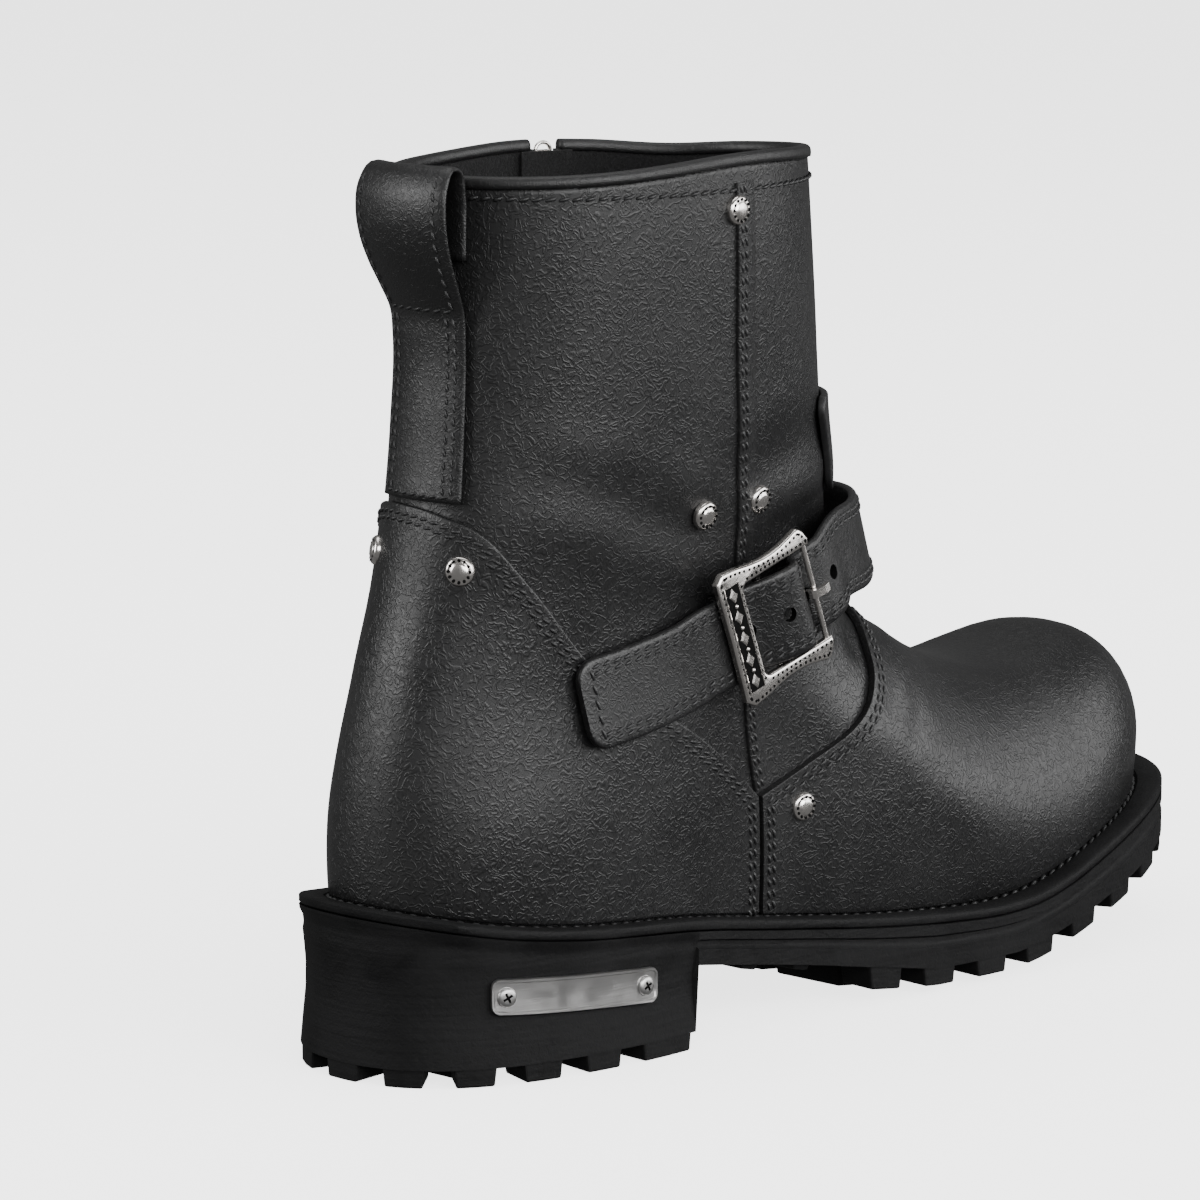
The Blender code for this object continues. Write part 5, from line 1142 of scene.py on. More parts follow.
def add_upper_leather():
    azimuths, rows = even_azimuths(300), 104
    grid = np.array([cut_column(column_at(a), feather_height, float(wall_top(a)), rows) for a in azimuths])
    ends = grid[:, (0, -1), 2]
    grid = snapped(grid)
    grid[:, (0, -1), 2] = ends
    grid += normals_at(grid) * (crease_depth(grid) - UPPER_SINK)[..., None]
    obj = add_surface("upper_leather", grid.reshape(-1, 3), grid_quads(len(azimuths), rows, wrap=True), LEATHER)
    obj.data.materials.append(LINING)
    wall = obj.modifiers.new("Wall", "SOLIDIFY")
    wall.thickness = WALL - LINING_ROOM
    wall.offset = -1
    wall.use_even_offset = wall.use_quality_normals = True
    wall.material_offset = 1
    half = ZIP_SLOT / 2
    slot = [(ZIP_X - half, 0.25), (ZIP_X - half, ZIP_END_Z + half)]
    slot += [(ZIP_X - half * cos(a), ZIP_END_Z + half - half * sin(a)) for a in np.linspace(0, pi, 17)[1:-1]]
    slot += [(ZIP_X + half, ZIP_END_Z + half), (ZIP_X + half, 0.25)]
    cut(obj, loft("zip_slot", [np.array([(x, y, z) for x, z in slot]) for y in (0.012, 0.060)], LEATHER))
    applied(obj)
    piece(obj, "leather", "upper")


def add_overlay(name, rows, shear, thickness, node, count=170, levels=46):
    """Leather laid over the upper below an edge. Returns the line of that edge and both ends."""
    first, last = rows[0][0], rows[-1][0]
    grid = []
    for azimuth in np.linspace(first, last, count):
        edge = float(SHAFT_HEIGHT * smooth_curve(azimuth, rows, 1))
        tilt = max(0, 1 - (azimuth - first) / END_SPAN) ** 2 - max(0, 1 - (last - azimuth) / END_SPAN) ** 2
        grid.append([
            cut_column(column_at(radians(azimuth + shear * tilt * level)), overlay_foot_height, edge, levels)[k]
            for k, level in enumerate(np.linspace(1, 0, levels))
        ])
    grid = np.array(grid)
    foot = grid[:, 0, 2].copy()
    grid = snapped(grid)
    grid[:, 0, 2] = foot
    normals = normals_at(grid)
    dip = crease_depth(grid)[..., None]
    layers = [grid + normals * (GAP + thickness + dip), grid + normals * (dip - OVERLAY_SINK)]
    for layer in layers:
        layer[:, 0, 2] = overlay_foot_height(layer[:, 0, 0])
    size = count * levels
    faces = grid_quads(count, levels)
    faces += [tuple(size + i for i in reversed(face)) for face in faces]
    border = [i * levels for i in range(count)]
    border += [(count - 1) * levels + k for k in range(1, levels)]
    border += [i * levels + levels - 1 for i in reversed(range(count - 1))]
    border += list(reversed(range(1, levels - 1)))
    obj = add_mesh(name, np.reshape(layers, (-1, 3)), faces + rim_quads(border, size), OVERLAY_LEATHER)
    rounded_edges(obj, OVERLAY_ROUNDING, 3, 50)
    applied(obj)
    piece(obj, "leather", node)
    return np.vstack([grid[0, :-1], grid[:, -1], grid[-1, -2::-1]])


def seam_path(points, shift, rise, spacing=0.0005):
    """A line on the leather, moved sideways by shift to the right of its run, lying rise over it."""
    line = smooth_path(points, 0.002)
    for _ in range(2):
        line = np.vstack([line[:1], (line[:-2] + 2 * line[1:-1] + line[2:]) / 4, line[-1:]])
    line = snapped(line + np.cross(unit(np.gradient(line, axis=0)), normals_at(line)) * shift)
    line = line + normals_at(line) * (rise + crease_depth(line))[:, None]
    return smooth_path(line, spacing)


def stitches(name, lines, normal_of, length, radius, sink=0.1, slot="leather", gap=0.0004, slant=0.0007):
    """Thread along lines, one rounded stitch after another, its ends going down into the leather."""
    share, thick, rise = np.transpose(STITCH_RINGS)
    turns = circle(STITCH_SIDES)
    points = []
    for line in lines:
        run = run_along(line)
        count = int(run[-1] / (length + gap))
        pitch = run[-1] / count
        at = np.arange(count)[:, None] * pitch + gap / 2 + share * (pitch - gap)
        both = np.column_stack([line, normal_of(line)])
        here, before, after = (interpolated(at + step, run, both) for step in (0, -0.0004, 0.0004))
        out = here[..., 3:]
        side = np.cross(out, unit((after - before)[..., :3]))
        centre = here[..., :3] + out * (radius * (1 - sink) * rise)[:, None]
        centre += side * (slant * (share - 0.5))[:, None]
        ring = side[..., None, :] * np.cos(turns)[:, None] + out[..., None, :] * (np.sin(turns) * 0.85)[:, None]
        points.append((centre[..., None, :] + ring * (radius * thick)[:, None, None]).reshape(-1, 3))
    points = np.vstack(points)
    size = len(STITCH_RINGS)
    one = ring_quads(size, STITCH_SIDES)
    faces = [
        (base + a, base + d, base + c, base + b)
        for base in range(0, len(points), size * STITCH_SIDES) for a, b, c, d in one
    ]
    piece(add_surface(name, points, faces, THREAD), slot)


def strip_stitches(name, lines, radius):
    """Stitches on lines of points with normals."""
    spots = np.vstack(lines)

    def nearest_normal(line):
        return spots[np.argmin(np.linalg.norm(spots[None, :, :3] - line[:, None], axis=2), axis=1), 3:]

    stitches(name, [smooth_path(line[:, :3], 0.0006) for line in lines], nearest_normal, STRIP_STITCH, radius)


def add_lap(name, line, width, height):
    """The thick edge of a leather panel lapped over another along a line, tapering off to its left."""
    side = np.cross(normals_at(line), unit(np.gradient(line, axis=0)))
    rows = ((0.0, -0.0006), (0.0, height * 0.55), (0.00025, height * 0.9), (0.0006, height),
            (width * 0.4, height * 0.72), (width * 0.75, height * 0.3), (width, -0.0004))
    shares, rises = np.transpose(rows)
    at = snapped(line[:, None] + side[:, None] * shares[:, None])
    points = (at + normals_at(at) * (rises + crease_depth(at))[..., None]).reshape(-1, 3)
    piece(add_surface(name, points, grid_quads(len(line), len(rows)), LEATHER), "leather")


def add_collar_roll():
    half_slot = (ZIP_SLOT / 2 + COLLAR_GAP) / shaft_radius(np.degrees(ZIP_AZIMUTH), SHAFT_HEIGHT)
    half = WALL / 2 + BINDING_PROUD
    sections = []
    for azimuth in np.linspace(ZIP_AZIMUTH + half_slot, ZIP_AZIMUTH - half_slot + 2 * pi, 220):
        top = float(collar_height(azimuth))
        point = snapped(surface_at(np.degrees(azimuth), top - BINDING_HEIGHT))
        out = horizontal(normals_at(point))
        centre = point - out * WALL / 2
        sections.append(np.array([
            (*(centre + out * across * half)[:2], top - BINDING_HEIGHT * (1 - up)) for across, up in COLLAR_PROFILE
        ]))
    piece(loft("collar_roll", sections, BINDING_LEATHER), "leather", "collar_binding")


# Strap and its metal


def buckle_frame():
    """Origin on the leather and the axes along the strap, across it and outward."""
    origin = surface_at(BUCKLE_AZIMUTH, BUCKLE_Z)
    out = np.array([cos(BUCKLE_FACING), sin(BUCKLE_FACING), 0])
    level = np.array([-out[1], out[0], 0])
    forward = level * cos(BUCKLE_PITCH) + UP * sin(BUCKLE_PITCH)
    return origin, forward, np.cross(out, forward), out


def strap_station(azimuth, up, off, lean):
    """Middle of the strap on the line out at one azimuth, as near as its clearance lets it come."""
    angle, lean = radians(azimuth), radians(lean)
    ray = np.array([cos(angle), sin(angle), 0])
    level = horizontal(normals_at(surface_at(azimuth, up * SHAFT_HEIGHT)))
    face = level * cos(lean) + UP * sin(lean)
    across = UP * cos(lean) - level * sin(lean)
    base = np.array([PIVOT.x, PIVOT.y, up * SHAFT_HEIGHT])
    near, far = 0.02, 0.10
    marks = across[None] * np.linspace(-0.5, 0.5, 7)[:, None] * STRAP_WIDTH
    for _ in range(24):
        middle = (near + far) / 2
        inner = base + ray * middle - face * STRAP_THICKNESS / 2 + marks
        if distance_at(inner).min() > off * STRAP_STANDOFF:
            far = middle
        else:
            near = middle
    return base + ray * far, face


def strap_line():
    """Middle points of the strap with the way its face looks, and which one is at the prong's hole."""
    origin, forward, across, out = buckle_frame()
    start, end = ([np.concatenate(strap_station(*row)) for row in rows] for rows in (STRAP_ROWS, FREE_END_ROWS))
    middle = origin + out * (BUCKLE_RISE - BUCKLE_THICKNESS / 2 - STRAP_THICKNESS / 2 - 1.5 * GAP)
    passed = np.array([
        middle + forward * a * BUCKLE_LENGTH + out * rise * STRAP_HUMP - across * low * STRAP_WIDTH
        for a, rise, low in BUCKLE_PASS_ROWS
    ])
    faces = unit(np.cross(across, np.gradient(passed, axis=0)))
    line = smooth_path(np.vstack([start, np.hstack([passed, faces]), end]), 0.0004)
    hole = middle + forward * PRONG_HOLE * BUCKLE_LENGTH
    return line, int(np.argmin(np.linalg.norm(line[:, :3] - hole, axis=1)))


def add_strap_leather():
    """The strap with its holes. Returns its stitch lines as points with normals."""
    line, used = strap_line()
    run = run_along(line)
    end_marks = np.array([0.0055, 0.004, 0.0027, 0.0016, 0.0008, 0.0003, 0.00002])
    marks = np.r_[np.arange(0, run[-1] - 0.006, 0.0013), run[-1] - end_marks]
    fine = interpolated(marks, run, line)
    path = fine[:, :3]
    ahead = unit(np.gradient(path, axis=0))
    out = unit(fine[:, 3:] - ahead * np.sum(fine[:, 3:] * ahead, axis=1, keepdims=True))
    side = np.cross(out, ahead)
    left = run_along(path)[-1] - run_along(path)
    rounding = np.sqrt(STRAP_CORNER**2 - np.clip(STRAP_CORNER - left, 0, None) ** 2)
    half = STRAP_WIDTH / 2 - STRAP_CORNER + rounding
    share, shift, rise = np.transpose(STRAP_PROFILE)
    across = (share * half[:, None] + shift)[..., None]
    sections = path[:, None] + side[:, None] * across + out[:, None] * (rise * STRAP_THICKNESS / 2)[:, None]
    strap = loft("strap_leather", sections, STRAP_LEATHER)
    for i in range(-1, 3):
        steps = run[used] + i * STRAP_HOLE_SPACING + np.array([-0.0008, 0, 0.0008])
        before, centre, after = interpolated(steps, run, line)
        ahead = (after - before)[:3]
        across = np.cross(centre[3:], ahead)
        # The punch's near-black matte look goes onto the walls of the hole: painted shade inside the strap holes.
        punch = cylinder("strap_hole_%d" % (i + 2), STRAP_HOLE / 2, 3 * STRAP_THICKNESS, BLACKENING_AND_PAINTED_SHADE, 28)
        punch.matrix_world = facing(centre[:3], np.cross(ahead, across), across)
        cut(strap, punch)
    applied(strap)
    sharp_over(strap, 50)
    piece(strap, "leather", "strap")
    kept = (marks > 0.001) & (marks < run[-1] - 0.0032)
    face, side, normals = path[kept] + out[kept] * STRAP_THICKNESS / 2, side[kept], out[kept]
    lines = [
        np.hstack([face + side * hand * (STRAP_WIDTH / 2 - inset), normals])
        for inset in STRAP_SEAMS for hand in (-1, 1)
    ]
    start, end = lines[0][-1, :3], lines[1][-1, :3]
    normal = out[int(np.argmax(marks > run[-1] - 0.0034))]
    return lines + [np.array([np.r_[start + (end - start) * s, normal] for s in np.linspace(0, 1, 20)])]


def buckle_outline():
    """Points round the flat of the buckle, open at the rod's side."""
    half_opening = BUCKLE_OPENING / 2
    inner_side = BUCKLE_SIDE - BUCKLE_LENGTH / 2
    edge = np.array([(a * BUCKLE_LENGTH, b * BUCKLE_HEIGHT, 0) for a, b in BUCKLE_EDGE])
    rim = np.vstack([edge[:3], smooth_path(edge[2:4], 0.001)[1:-1], smooth_path(edge[3:11], 0.0008), edge[11:]])
    half = [(x, y) for x, y, _ in rim] + [(ROD_ALONG * BUCKLE_LENGTH, half_opening + 0.0002)]
    half += [
        (inner_side + BUCKLE_CORNER * (1 - sin(t)), half_opening - BUCKLE_CORNER * (1 - cos(t)))
        for t in np.r_[0, np.linspace(0.2, pi / 2, 5)]
    ]
    return half + [(a, -b) for a, b in reversed(half)][:-1]


def add_buckle_frame():
    """The buckle with its ornament. Returns where its dots go, as points with normals."""
    origin, forward, across, out = buckle_frame()
    at = axes_at(origin + out * BUCKLE_RISE, forward, across, out)
    points = buckle_outline()
    curve = bpy.data.curves.new("buckle_metal", "CURVE")
    curve.dimensions = "2D"
    curve.fill_mode = "BOTH"
    curve.extrude = BUCKLE_THICKNESS / 2 - BUCKLE_BEVEL
    curve.bevel_depth = BUCKLE_BEVEL
    curve.bevel_resolution = 3
    curve.offset = -BUCKLE_BEVEL
    spline = curve.splines.new("POLY")
    spline.points.add(len(points) - 1)
    for spot, (x, y) in zip(spline.points, points):
        spot.co = (x, y, 0, 1)
    spline.use_cyclic_u = True
    guide = bpy.data.objects.new("buckle_guide", curve)
    BOOT.objects.link(guide)
    mesh = bpy.data.meshes.new_from_object(guide)
    bpy.data.objects.remove(guide, do_unlink=True)
    made = bmesh.new()
    made.from_mesh(mesh)
    bpy.data.meshes.remove(mesh)
    bmesh.ops.remove_doubles(made, verts=made.verts, dist=MEETING)
    top = BUCKLE_THICKNESS / 2
    reach = BUCKLE_OPENING / 2 + 0.0016
    add_tube(made, [(ROD_ALONG * BUCKLE_LENGTH, y, 0) for y in np.linspace(-reach, reach, 7)], BUCKLE_ROD / 2)
    drop, leg, bar_x = BUCKLE_RISE - BAR_RISE, BUCKLE_OPENING / 2 + 0.0011, BAR_ALONG * BUCKLE_LENGTH
    add_tube(made, [(bar_x, y, -drop) for y in np.linspace(-leg, leg, 7)], BUCKLE_BAR / 2)
    for hand in (-1, 1):
        add_tube(made, [(bar_x, hand * leg, z) for z in np.linspace(-drop, 0, 4)], 0.0010)
    # Rims of the wide side, and a plain ornament of lozenges with beads between them
    for a in (-0.452, -0.295):
        rim = [(a * BUCKLE_LENGTH, s * 0.40 * BUCKLE_HEIGHT, top) for s in np.linspace(-1, 1, 9)]
        add_tube(made, rim, 0.00028, 8)
    middle_x = (BUCKLE_SIDE - BUCKLE_LENGTH) / 2
    for i in range(-2, 3):
        rings = [
            [(middle_x + x * wide, i * ORNAMENT_PITCH + y * wide, top + rise) for x, y in LOZENGE]
            for wide, rise in ((1, -0.0001), (0.62, 0.0006))
        ]
        made.faces.new(bridge(made, rings)[1])
    for i in range(-2, 2):
        bead = bmesh.ops.create_icosphere(made, subdivisions=2, radius=BEAD_RADIUS)["verts"]
        bmesh.ops.translate(made, verts=bead, vec=(middle_x, (i + 0.5) * ORNAMENT_PITCH, top + 0.0002))
    buckle = add_solid("buckle_metal", made, SILVER)
    sharp_over(buckle, 34)
    buckle.matrix_world = at
    piece(buckle, "silver", "buckle")
    ground = block("buckle_ground", ORNAMENT_GROUND, BLACKENING_AND_PAINTED_SHADE)
    rounded_edges(ground, 0.0001, 1, 40)
    ground.matrix_world = at @ Matrix.Translation((middle_x, 0, top + 0.00003))
    piece(ground, "black_metal")
    closed = resampled(np.array([(x, y, 0) for x, y in points]), 900)
    area = np.sum(closed[:, 0] * np.roll(closed[:, 1], -1) - np.roll(closed[:, 0], -1) * closed[:, 1])
    inner = closed - outward(closed) * np.sign(area) * DOT_INSET
    run = run_along(closed)
    count = int(run[-1] / DOT_SPACING)
    spots = [inner[int(np.searchsorted(run, (i + 0.5) * run[-1] / count))] for i in range(count)]
    return [
        (np.array(at @ Vector((x, y, top))), out)
        for x, y, z in spots if np.min(np.linalg.norm(closed - (x, y, z), axis=1)) > 0.84 * DOT_INSET
    ]


def add_dots(name, spots, radius, sides=8):
    """Small dark caps. spots: places with their axes."""
    points, faces = [], []
    for spot, axis in spots:
        u = unit(np.cross(axis, (0.3, 0.2, 0.93)))
        v = np.cross(axis, u)
        base = len(points)
        for ring, high in ((1.0, 0.00002), (0.6, 0.00010)):
            points += [spot + (u * cos(t) + v * sin(t)) * radius * ring + axis * high for t in circle(sides)]
        points.append(spot + axis * 0.00012)
        for k in range(sides):
            m = (k + 1) % sides
            faces.append((base + k, base + m, base + sides + m, base + sides + k))
            faces.append((base + sides + k, base + sides + m, base + 2 * sides))
    piece(add_surface(name, points, faces, BLACKENING_AND_PAINTED_SHADE, smooth=False), "black_metal")


def add_rivet_heads():
    """All rivet heads in one piece. Returns where their dots go, as points with normals."""
    made, dots = bmesh.new(), []
    r, h = RIVET_DIAMETER / 2, RIVET_HEIGHT
    for _, azimuth, up, cover in RIVET_ROWS:
        point = snapped(surface_at(azimuth, up * SHAFT_HEIGHT))
        normal = normals_at(point)
        at = facing(point + normal * (cover + GAP), normal, UP)
        bridge(made, turned([(a * r, b * h) for a, b in RIVET_DOME], at))
        for t in circle(RIVET_DOTS):
            spot = Vector((0.73 * r * cos(t), 0.73 * r * sin(t), 0.74 * h))
            dots.append((np.array(at @ spot), normal))
    piece(add_solid("rivet_heads", made, SILVER), "silver", *["rivet_" + row[0] for row in RIVET_ROWS])
    return dots


# Heel plate, pull strap, front plate and zip


def heel_side(run, height):
    """Point and normal on the heel's side at a length along the edge and a height."""
    point, normal = OUTLINE.at(run)
    top = float(seat_height(point[0]))
    share = (top - height) / (top - LUG_DEPTH)
    spot = point - normal * np.interp(share, *np.transpose(HEEL_SIDE)) * SIDE_STEP
    return np.array([spot[0], spot[1], height]), normal


def add_plate_metal():
    start = OUTLINE.run_at(PLATE_FRONT_X, True) - PLATE_LENGTH
    ends = np.r_[0, 0.0002, 0.0005, 0.0009, 0.0014, 0.0020]
    full = PLATE_THICKNESS
    rings = []
    for mark in np.r_[ends, np.linspace(0.0028, PLATE_LENGTH - 0.0028, 34), PLATE_LENGTH - ends[::-1]]:
        middle = PLATE_Z + (0.5 * PLATE_LENGTH - mark) * PLATE_SLOPE
        near = min(mark, PLATE_LENGTH - mark)
        half = PLATE_HEIGHT / 2
        if near < PLATE_CORNER:
            half -= PLATE_CORNER - (PLATE_CORNER**2 - (PLATE_CORNER - near) ** 2) ** 0.5
        floor = full if near < PLATE_RIM else full - PLATE_RECESS
        rim = PLATE_RIM / half
        right = [(0.3, floor), (1 - 1.35 * rim, floor), (1 - rim, full), (1 - 0.25 * rim, full)]
        right += [(1, full * 0.75), (1, 0)]
        ring = []
        for across, rise in [(-a, b) for a, b in reversed(right)] + right:
            spot, normal = heel_side(start + mark, middle + across * half)
            ring.append(spot + normal * (PLATE_CLEARANCE + rise))
        rings.append(np.array(ring))
    plate = loft("heel_plate_metal", rings, STEEL)
    sharp_over(plate, 40)
    piece(plate, "plate", "heel_plate")
    r, h = PLATE_SCREW_DIAMETER / 2, PLATE_SCREW_HEIGHT
    for number, shift in ((1, -PLATE_SCREW_SPACING / 2), (2, PLATE_SCREW_SPACING / 2)):
        spot, normal = heel_side(start + PLATE_LENGTH / 2 + shift, PLATE_Z - shift * PLATE_SLOPE)
        at = facing(spot + normal * (PLATE_CLEARANCE + full - GAP), normal, np.cross(UP, normal))
        made = bmesh.new()
        bridge(made, turned([(a * r, b * h) for a, b in SCREW_HEAD], Matrix.Identity(4)))
        screw = add_solid("screw_head_%d" % number, made, STEEL, smooth=False)
        screw.matrix_world = at
        for turn in (28, 118):
            # The slot bars leave their near-black matte look on the walls of the screw's slots: painted shade in
            # the slots.
            bar = block("recess_%d_%d" % (number, turn), SCREW_SLOT, BLACKENING_AND_PAINTED_SHADE)
            spin = Matrix.Rotation(radians(turn), 4, "Z")
            bar.matrix_world = at @ Matrix.Translation((0, 0, h * 0.95)) @ spin
            cut(screw, bar)
        applied(screw)
        screw.data.shade_smooth()
        sharp_over(screw, 35)
        piece(screw, "plate", "plate_screw_%d" % number)


def add_pull_strap():
    """The pull strap. Returns its stitch lines as points with normals."""
    rows = smooth_path(np.array([(d * LOOP_BULGE, up * SHAFT_HEIGHT, 0) for d, up in LOOP_ROWS]), 0.0014)
    depth, height = rows[:, 0] + GAP + LOOP_THICKNESS / 2, rows[:, 1]
    rise, lean = unit(np.transpose([np.gradient(height), np.gradient(depth)])).T
    spread = np.degrees(LOOP_WIDTH / 2 / shaft_radius(LOOP_AZIMUTH, height[0]))
    shares = np.r_[-1, -0.97, -0.9, np.linspace(-0.8, 0.8, 11), 0.9, 0.97, 1]
    thin = np.r_[0.35, 0.75, 1.06, np.ones(11), 1.06, 0.75, 0.35] * LOOP_THICKNESS / 2
    rings, tops = [], []
    for d, z, up, away in zip(depth, height, rise, lean):
        spots = np.array([surface_at(LOOP_AZIMUTH + share * spread, z) for share in shares])
        out = horizontal(normals_at(spots))
        middle = spots + out * d
        face = out * up - UP * away
        rings.append(np.vstack([middle - face * thin[:, None], (middle + face * thin[:, None])[::-1]]))
        tops.append(np.hstack([middle + face * LOOP_THICKNESS / 2, face]))
    piece(loft("pull_strap", rings, STRAP_LEATHER), "leather", "pull_loop")
    tops = np.array(tops)
    foot, above, turn = (int(np.argmax(height > mark)) for mark in PULL_SEAM_HEIGHTS)
    lines = [tops[foot:above, column] for column in (3, 4, -5, -4)]
    lines += [tops[row, 3:-3] for row in (foot, above)]
    return lines + [tops[above:turn, column] for column in (3, -4)]


def add_front_metal(rows=22, columns=46):
    """The black plate at the front of the shaft, following it."""
    radius = shaft_radius(FRONT_AZIMUTH, FRONT_PLATE_Z)
    layers = [], []
    for up in np.linspace(-0.5, 0.5, rows):
        half = np.degrees(float(smooth_curve(up, FRONT_PLATE_ROWS, 1)) * FRONT_PLATE_WIDTH / 2 / radius)
        for azimuth in FRONT_AZIMUTH + np.linspace(-half, half, columns):
            point = surface_at(azimuth, FRONT_PLATE_Z + up * FRONT_PLATE_HEIGHT)
            normal = normals_at(point)
            for layer, rise in zip(layers, (GAP, 3 * GAP + FRONT_PLATE_THICKNESS)):
                layer.append(point + normal * rise)
    size = rows * columns
    faces = []
    for i in range(rows - 1):
        for k in range(columns - 1):
            a, b = i * columns + k, (i + 1) * columns + k
            faces += [(a, a + 1, b + 1, b), (size + b, size + b + 1, size + a + 1, size + a)]
    border = list(range(columns)) + [i * columns + columns - 1 for i in range(1, rows)]
    border += [(rows - 1) * columns + k for k in reversed(range(columns - 1))]
    border += [i * columns for i in reversed(range(1, rows - 1))]
    obj = add_mesh("front_guard", layers[0] + layers[1], faces + rim_quads(border, size), BLACK_METAL)
    rounded_edges(obj, 0.0005, 3, 45)
    applied(obj)
    piece(obj, "black_metal", "front_plate")


def zip_azimuth():
    """Where the shaft's rim passes the zip."""
    spots = (surface_at(a, SHAFT_HEIGHT) for a in np.linspace(60, 120, 241))
    point = min(spots, key=lambda p: abs(p[0] - ZIP_X))
    return np.arctan2(point[1] - PIVOT.y, point[0] - PIVOT.x)


def zip_frame(height):
    """Point on the outside at the zip, with the axes across the zip and outward."""
    point = surface_at(np.degrees(ZIP_AZIMUTH), height)
    out = horizontal(normals_at(point))
    return point, np.array([-out[1], out[0], 0]), out


def add_zip_chain():
    """Two rows of metal teeth that mesh on the middle of the tape."""
    low, high = ZIP_END_Z + 0.003, float(wall_top(ZIP_AZIMUTH)) - ZIP_SLIDER_LENGTH - 2 * GAP
    rise = 2 * GAP + ZIP_TEETH_THICKNESS / 2 - WALL - ZIP_TAPE_CLEARANCE
    made = bmesh.new()
    count = int((high - low) / ZIP_PITCH)
    for i in range(count):
        point, across, out = zip_frame(low + (i + 0.5) * (high - low) / count)
        tooth = bmesh.ops.create_cube(made, size=1.0)["verts"]
        shift = ZIP_TOOTH_SHIFT if i % 2 else -ZIP_TOOTH_SHIFT
        at = axes_at(point + out * rise + across * shift, across, UP, out)
        size = Matrix.Diagonal((*ZIP_TOOTH, ZIP_TEETH_THICKNESS, 1))
        bmesh.ops.transform(made, matrix=at @ size, verts=tooth)
    chain = add_solid("zip_chain", made, BLACK_METAL, smooth=False)
    rounded_edges(chain, 0.00015, 1, 40)
    applied(chain)
    piece(chain, "black_metal", "zip_teeth")


def add_zip_crown():
    """The slider's ring between the two ends of the rolled rim."""
    point, across, out = zip_frame(CROWN_Z - 0.0001)
    centre = point - out * WALL / 2
    centre[2] = CROWN_Z
    made = bmesh.new()
    rings = []
    for t in np.linspace(-0.2, pi + 0.2, 22):
        middle = centre + across * CROWN_RADIUS * cos(t) + UP * CROWN_RADIUS * 0.9 * sin(t)
        away = across * cos(t) + UP * sin(t)
        rings.append([middle + (away * cos(u) + out * sin(u)) * CROWN_TUBE for u in circle(10)])
    bridge(made, rings, capped=True)
    piece(add_solid("zip_crown", made, SILVER), "silver")


# The boot

BOOT = bpy.data.collections.new("dressing")
CUTTERS = bpy.data.collections.new("cutters")
CUTTERS.hide_render = True
for collection in (BOOT, CUTTERS):
    bpy.context.scene.collection.children.link(collection)

LEATHER = leather_look("shaft_leather", 0.0062, 0.43)
OVERLAY_LEATHER = leather_look("overlay_leather", 0.0065, 0.42)
STRAP_LEATHER = leather_look("strap_leather", 0.0060, 0.42, 800.0, 0.00005)
BINDING_LEATHER = leather_look("binding_leather", 0.0050, 0.48, 900.0, 0.00004)
RUBBER = rubber_look()
LINING = lining_look()
THREAD = thread_look()
SILVER = metal_look("aged_silver", (0.78, 0.75, 0.72), (0.50, 0.47, 0.45), 0.20)
STEEL = metal_look("brushed_plate", (0.46, 0.455, 0.45), (0.38, 0.375, 0.37), 0.34, (60.0, 60.0, 2600.0), 160.0)
BLACK_METAL = black_metal_look()
# Near-black matte: the dark ground and dots of the buckle and rivets, and painted shade on the cut walls of the
# strap holes and the screw slots.
BLACKENING_AND_PAINTED_SHADE = Look("blackening_and_painted_shade", (0.004, 0.004, 0.004), 0.9, Specular_IOR_Level=0.05).made

OUTLINE = Outline()
ZIP_AZIMUTH = zip_azimuth()

add_upper_leather()
seams = []
for name, rows, shear, thickness, node in (
    ("vamp_leather", VAMP_ROWS, JUNCTION_SHEAR, VAMP_THICKNESS, "vamp"),
    ("counter_leather", COUNTER_ROWS, -JUNCTION_SHEAR, COUNTER_THICKNESS, "counter"),
):
    rim = add_overlay(name, rows, shear, thickness, node)
    seams += [seam_path(rim, shift, GAP + thickness) for shift in OVERLAY_SEAMS]
side_seam = [surface_at(np.degrees(np.arctan2(y - PIVOT.y, x - PIVOT.x)), z) for x, y, z in SIDE_SEAM]
add_lap("side_lap", seam_path(side_seam, 0.0, 0.0, 0.0012), 0.0080, 0.0008)
seams += [seam_path(side_seam, shift, 0.0007 + 0.06 * shift) for shift in SIDE_SEAMS]
collar_seam = [surface_at(a, SHAFT_HEIGHT - COLLAR_SEAM_DOWN) for a in np.linspace(97, 443, 120)]
seams.append(seam_path(collar_seam, 0.0, 0.0))
stitches("upper_stitches", seams, normals_at, UPPER_STITCH, UPPER_THREAD)
add_collar_roll()
add_sole_body()
add_tread()
add_welt_strip()
strip_stitches("strap_stitches", add_strap_leather(), STRAP_THREAD)
buckle_dots = add_buckle_frame()
rivet_dots = add_rivet_heads()
add_dots("buckle_dots", buckle_dots, BUCKLE_DOT)
add_dots("rivet_dots", rivet_dots, RIVET_DOT)
add_plate_metal()
strip_stitches("pull_stitches", add_pull_strap(), PULL_THREAD)
add_front_metal()
add_zip_chain()
add_zip_crown()

for node, look in (("insole", LINING), ("chape", STRAP_LEATHER), ("buckle_prong", SILVER), ("zip_tape", LINING),
                   ("zip_slider", SILVER), ("zip_pull", SILVER)):
    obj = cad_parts[node]
    obj.data.materials.clear()
    obj.data.materials.append(look)
    if look is SILVER:
        rounded_edges(obj, 0.00022, 2, 30)


# Studio


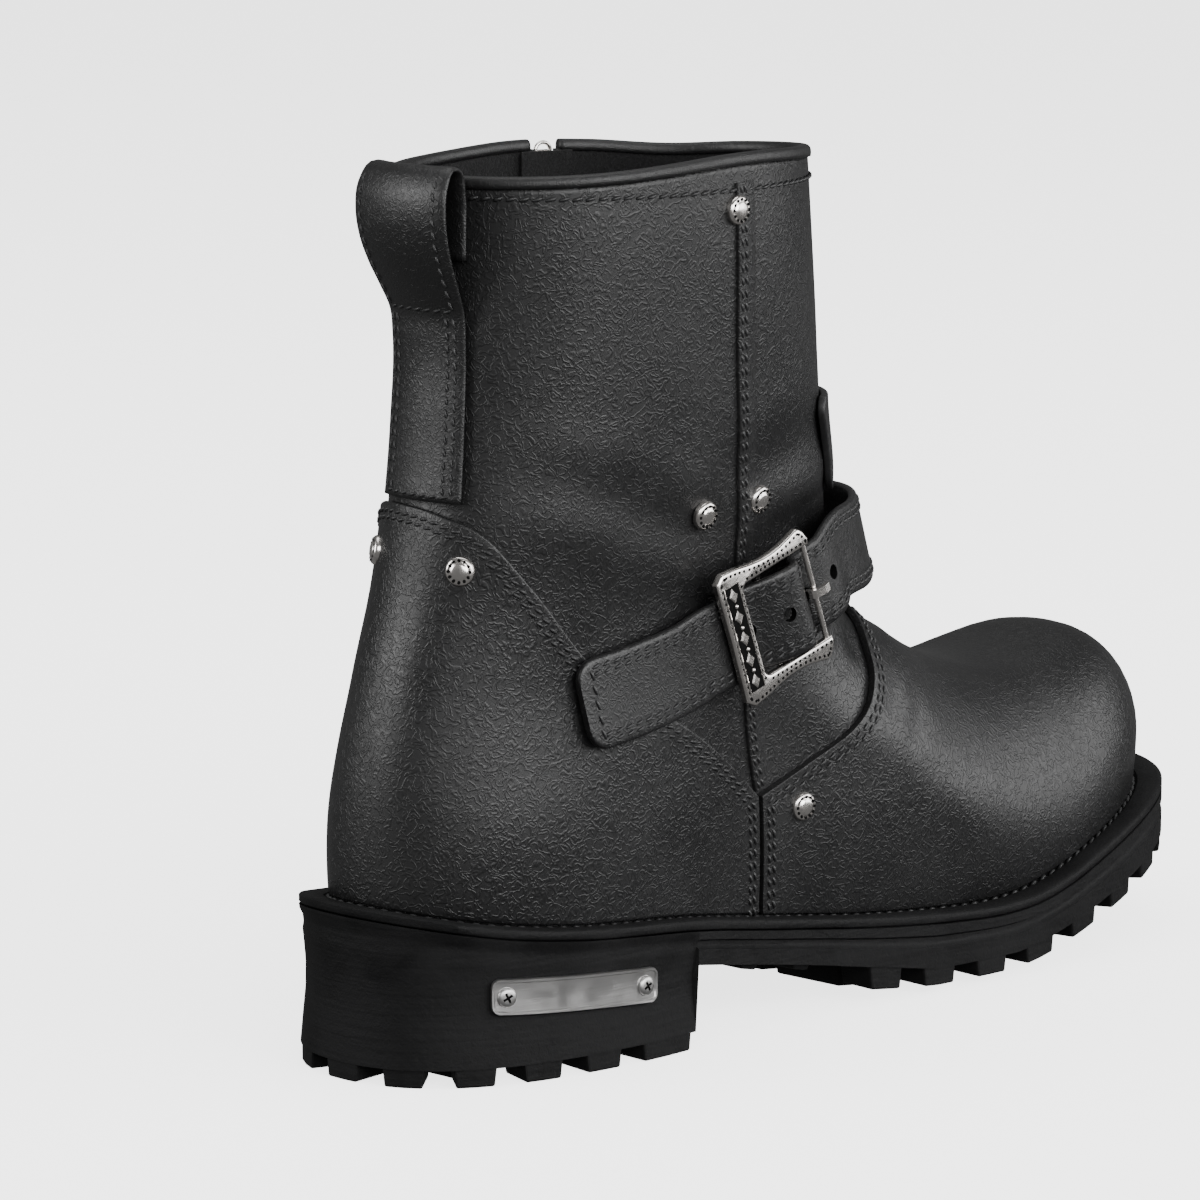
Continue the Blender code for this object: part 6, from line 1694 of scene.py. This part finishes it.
def softbox(name, spot, target, size, power):
    lamp = bpy.data.lights.new(name, "AREA")
    lamp.shape = "RECTANGLE"
    lamp.size, lamp.size_y = size
    lamp.energy = power
    obj = bpy.data.objects.new(name, lamp)
    obj.location = spot
    obj.rotation_euler = (Vector(target) - Vector(spot)).to_track_quat("-Z", "Y").to_euler()
    bpy.context.scene.collection.objects.link(obj)


softbox("key", (1.7, -1.6, 0.8), (0.1, 0, 0.1), (2.0, 1.5), 46)
softbox("front", (-0.1, -2.3, 0.9), (0.05, 0, 0.1), (1.6, 1.4), 62)
softbox("back", (-1.9, 1.4, 0.9), (0.0, 0, 0.12), (1.3, 1.3), 45)
softbox("side", (-1.6, -1.75, 1.1), (0.0, 0, 0.1), (1.4, 1.2), 34)
softbox("top", (0.2, 0.3, 2.4), (0.1, 0, 0), (2.0, 2.0), 30)

floor_mesh = bpy.data.meshes.new("studio_floor")
corners = ((-1, -1), (1, -1), (1, 1), (-1, 1))
floor_mesh.from_pydata([(x * FLOOR_REACH, y * FLOOR_REACH, 0) for x, y in corners], [], [(0, 1, 2, 3)])
floor_look = Look("pale_floor", (0.80, 0.80, 0.805), 0.75, Specular_IOR_Level=0.1,
                  Emission_Color=(1.0, 1.0, 1.0, 1.0), Emission_Strength=2.7)
floor_mesh.materials.append(floor_look.made)
floor = bpy.data.objects.new("studio_floor", floor_mesh)
bpy.context.scene.collection.objects.link(floor)
floor.visible_glossy = floor.visible_diffuse = False

world = bpy.data.worlds.new("studio")
bpy.context.scene.world = world
world.use_nodes = True
background = world.node_tree.nodes["Background"].inputs
background["Color"].default_value = (1.0, 1.0, 1.0, 1.0)
background["Strength"].default_value = 0.16

camera = bpy.data.objects.new("camera", bpy.data.cameras.new("camera"))
camera.data.sensor_fit = "HORIZONTAL"
camera.data.angle = radians(CAMERA_ANGLE)
camera.data.clip_end = 300
ahead = Vector(CAMERA_AHEAD).normalized()
right = Vector((cos(radians(CAMERA_TURN)), -sin(radians(CAMERA_TURN)), 0))
right = (right - ahead * right.dot(ahead)).normalized()
camera.matrix_world = axes_at(CAMERA_SPOT, right, right.cross(ahead), -ahead)
bpy.context.scene.collection.objects.link(camera)
bpy.context.scene.camera = camera

bpy.context.view_layer.update()
